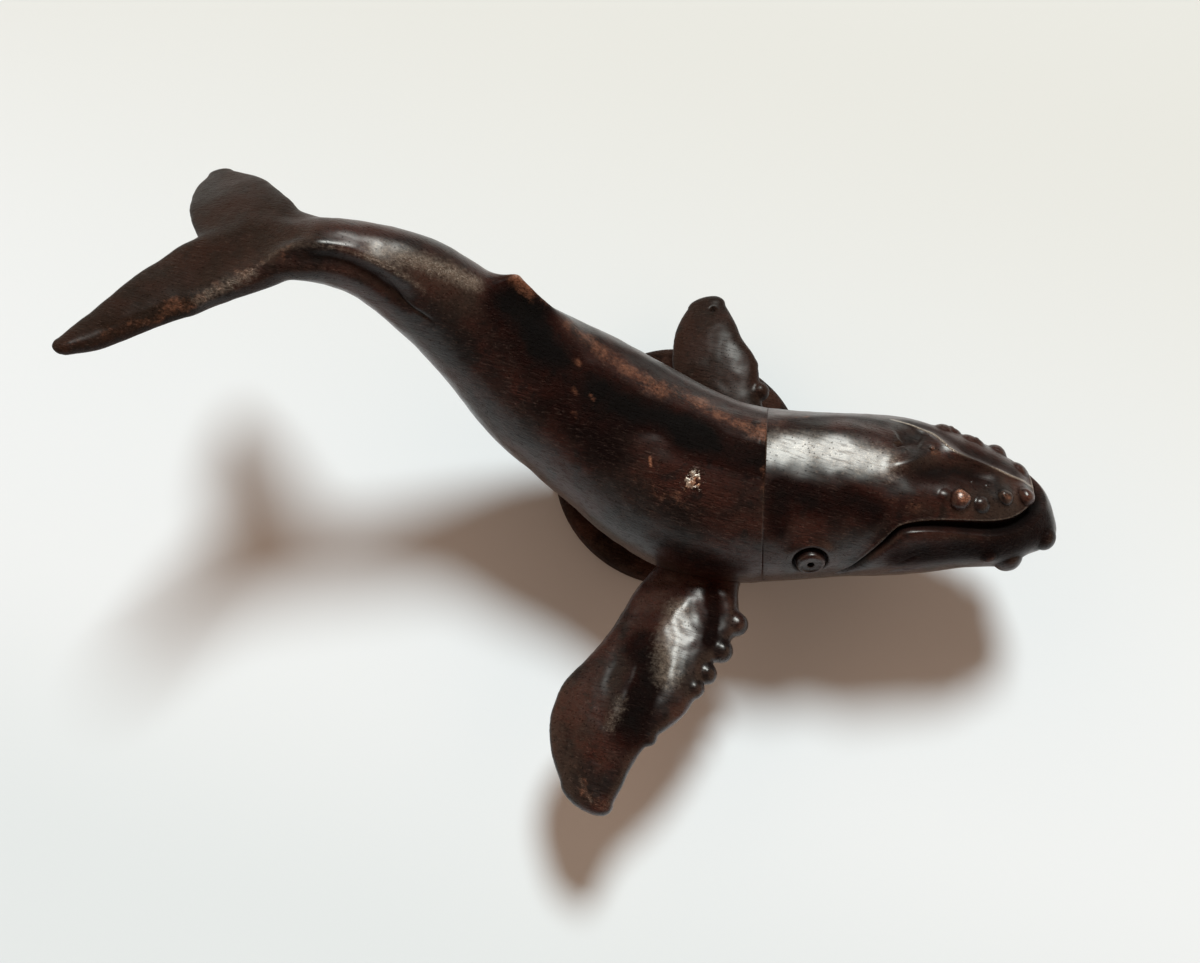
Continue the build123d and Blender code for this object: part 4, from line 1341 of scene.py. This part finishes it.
def bronze(name, dark, warm, grey, coat, dullness):
    """Patinated bronze: brown and grey over a dark ground, rubbed to copper and to pale metal, waxed, with
    black patina, painted shade and painted highlights.
    """
    f = Finish(name)
    place = f.place()
    along = f.add("ShaderNodeMapping", {}, {
        "Vector": place, "Rotation": (0.0, 0.0, 0.5), "Scale": (0.14, 1.3, 1.3)})
    across = f.add("ShaderNodeMapping", {}, {
        "Vector": place, "Rotation": (0.4, 0.2, -0.7), "Scale": (0.2, 1.6, 1.6)})
    clouds = f.noise(place, 0.13, 4, 0.6)
    mottle = f.noise(place, 0.55, 5, 0.62)
    grain = f.noise(place, 2.4, 4, 0.7)
    strokes = f.noise(along, 3.0, 3, 0.7)
    scratches = f.ramp(f.noise(across, 4.0, 2, 0.7), 0.58, 0.66)
    dots = f.add("ShaderNodeTexVoronoi", {}, {"Vector": place, "Scale": 2.2, "Randomness": 1.0})
    pits = f.ramp(dots, 0.26, 0.08) * f.ramp(mottle, 0.38, 0.56)
    wear_and_glint, bare_and_highlight, black_patina_and_shade, painted_shade, matt = (f.mask(mask) for mask in MASKS)
    rub = wear_and_glint + (mottle - 0.5) * 1.3 + (grain - 0.5) * 0.8
    copper = f.ramp(rub, 0.2, 1.0) * f.ramp(wear_and_glint, 0.02, 0.25)
    silver_highlight = f.ramp(bare_and_highlight + (grain - 0.5) * 0.6, 0.1, 0.75) * f.ramp(bare_and_highlight, 0.02, 0.2)
    black = f.ramp(black_patina_and_shade + (mottle - 0.5) * 0.9 + (grain - 0.5) * 0.3, 0.15, 0.95) * f.ramp(black_patina_and_shade, 0.02, 0.25)
    dulled = f.ramp(black_patina_and_shade, 0.0, 0.45)
    colour = f.mix(f.ramp(clouds, 0.40, 0.62), dark, warm)
    colour = f.mix(f.ramp(mottle, 0.5, 0.72) * 0.6, colour, grey)
    colour = f.mix(f.ramp(mottle, 0.46, 0.32) * 0.85, colour, BLACK_SPOT)
    colour = f.mix(matt * 0.8, colour, WAX_LOST)
    # Black patina, also used as painted shade, first dulls to brown and then goes black
    colour = f.mix(dulled * 0.5, colour, DULL_PATINA_AND_SHADE_BROWN)
    colour = f.mix((scratches * 0.16 + f.ramp(grain, 0.58, 0.72) * 0.2).clamped(), colour, SCRATCHED)
    colour = f.mix(black * 0.95, colour, PATINA_AND_SHADE_BLACK)
    colour = f.mix(copper * 0.75, colour, COPPER)
    # Pale rubbed metal as a painted highlight
    colour = f.mix(silver_highlight * 0.8, colour, BARE_AND_HIGHLIGHT_BRONZE)
    # Painted shade in hollows
    colour = f.mix((painted_shade * 0.95).clamped(), colour, PAINTED_SHADE_BLACK)
    metal = 0.7 + copper * 0.3 + silver_highlight * 0.3 - black * 0.3 - painted_shade * 0.4
    rough = (mottle - 0.5) * 0.3 + (0.42 + dullness) + (strokes - 0.5) * 0.3 - copper * 0.06
    rough = rough + (painted_shade + dulled + matt * 0.6) * 0.3 - silver_highlight * 0.14
    wax = (1 - painted_shade).clamped() * (1 - dulled) * (1 - matt) * (1 - pits * 0.8)
    wax = wax * (1 - f.ramp(strokes, 0.5, 0.36) * 0.45)
    height = mottle * 0.08 + grain * 0.17 + strokes * 0.34 - scratches * 0.05 - pits * 0.2
    return f.made_of({
        "Base Color": colour, "Metallic": metal.clamped(), "Roughness": rough, "Specular IOR Level": 0.1,
        "Coat Weight": (wax * coat).clamped(), "Coat Roughness": 0.3, "Coat IOR": 1.5,
        "Normal": f.bump(height, 0.9, 0.001),
    })


def brazed(name):
    """Rough brazing: bright flecks, copper and black scale."""
    f = Finish(name)
    place = f.place()
    flecks = f.noise(place, 1.6, 4, 0.65)
    tint = f.noise(place, 0.9, 2, 0.5)
    bright = f.mix(f.ramp(tint, 0.5, 0.68), BRAZING, BRAZING_COPPER)
    colour = f.mix(f.ramp(flecks + f.mask("wear_and_glint") * 0.2, 0.54, 0.68), SCALE, bright)
    return f.made_of({
        "Base Color": colour, "Metallic": 0.75, "Roughness": 0.5 - flecks * 0.25,
        "Normal": f.bump(flecks, 1.0, 0.0002),
    })


def steel(name):
    """Fine-grained steel, for the screw under the disc."""
    f = Finish(name)
    grain = f.noise(f.place(), 3.0)
    colour = f.mix(grain, rgb(0.32, 0.31, 0.30), rgb(0.5, 0.49, 0.47))
    return f.made_of({"Base Color": colour, "Metallic": 1.0, "Roughness": grain * 0.2 + 0.3})


dark_bronze = bronze(
    "dark_bronze", dark=rgb(0.0064, 0.0024, 0.002), warm=rgb(0.036, 0.009, 0.0056),
    grey=rgb(0.037, 0.018, 0.0135), coat=0.84, dullness=0.0)
base_bronze = bronze(
    "base_bronze", dark=rgb(0.022, 0.012, 0.009), warm=rgb(0.055, 0.025, 0.018),
    grey=rgb(0.06, 0.038, 0.028), coat=0.0, dullness=0.2)
brazed_bronze = brazed("brazed_bronze")
screw_steel = steel("screw_steel")
finishes = {
    "foot": base_bronze, "disc": base_bronze, "plug_right": brazed_bronze, "plug_left": brazed_bronze,
}
for name, piece in pieces.items():
    piece.data.materials.append(finishes.get(name, dark_bronze))
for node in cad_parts.values():
    material = screw_steel if node.name == "base_screw" else dark_bronze
    node.data.materials.clear()
    node.data.materials.append(material)


# Floor, light and air


SHEET_SIZE = 1.5         # half its width, in metres
# The far and near colours are dimmer than the middle: painted light falloff
SHEET_FAR_PAINTED_DIM = rgb(0.638, 0.693, 0.715)
SHEET_MIDDLE = rgb(0.726, 0.806, 0.888)
SHEET_NEAR_PAINTED_DIM = rgb(0.644, 0.737, 0.814)
SHEET_BLOTCH = rgb(0.70, 0.77, 0.825)
ROOM_DIM = rgb(0.100, 0.072, 0.053)
ROOM_WALLS = rgb(0.92, 0.57, 0.38)
ROOM_HORIZON = rgb(0.58, 0.53, 0.47)


def make_floor():
    """A sheet of pale paper, a little bluer towards the viewer, and dimmer at its far and near ends: painted
    light falloff.
    """
    size = SHEET_SIZE
    mesh = bpy.data.meshes.new("floor")
    corners = [(-size, -size, 0), (size, -size, 0), (size, size, 0), (-size, size, 0)]
    mesh.from_pydata(corners, [], [(0, 1, 2, 3)])
    floor = bpy.data.objects.new("floor", mesh)
    scene.collection.objects.link(floor)
    f = Finish("pale_sheet")
    place = f.place()
    blotches = f.noise(place, 0.009, 2)
    depth = f.add("ShaderNodeSeparateXYZ", {}, {0: place}, "Y")
    sheet = f.mix(f.ramp(depth, 70.0, -20.0), SHEET_FAR_PAINTED_DIM, SHEET_MIDDLE)
    sheet = f.mix(f.ramp(depth, -30.0, -65.0), sheet, SHEET_NEAR_PAINTED_DIM)
    sheet = f.mix(blotches * 0.2, sheet, SHEET_BLOTCH)
    mesh.materials.append(f.made_of({"Base Color": sheet, "Roughness": 0.85}))


def softbox(name, direction, distance, size, watts, colour):
    """A round soft lamp that looks at the origin, with its distance and size in metres."""
    light = bpy.data.lights.new(name, "AREA")
    light.shape = "DISK"
    light.size = size
    light.energy = watts
    light.color = colour
    lamp = bpy.data.objects.new(name, light)
    aim = Vector(direction).normalized()
    lamp.matrix_world = Matrix.Translation(aim * distance) @ aim.to_track_quat("Z", "Y").to_matrix().to_4x4()
    scene.collection.objects.link(lamp)


def make_room():
    """Dim air over a pale horizon, with a warm wall on either side that lights the shadows."""
    world = bpy.data.worlds.new("room")
    world.use_nodes = True
    n = Nodes(world.node_tree)
    way = n.add("ShaderNodeTexCoord", {}, {}, "Generated")
    to_side = n.add("ShaderNodeSeparateXYZ", {}, {0: way}, "X").size()
    up = n.add("ShaderNodeSeparateXYZ", {}, {0: way}, "Z")
    walls = n.mix(n.ramp(to_side, 0.25, 0.85), ROOM_DIM, ROOM_WALLS)
    n.set(n.nodes["Background"].inputs["Color"], n.mix(n.ramp(up, 0.15, 0.03), walls, ROOM_HORIZON))
    scene.world = world


make_floor()
softbox("window", (-0.027, 0.614, 1.0), distance=4.0, size=1.2, watts=176.0, colour=(0.93, 0.96, 0.91))
make_room()
scene.view_settings.view_transform = "Standard"
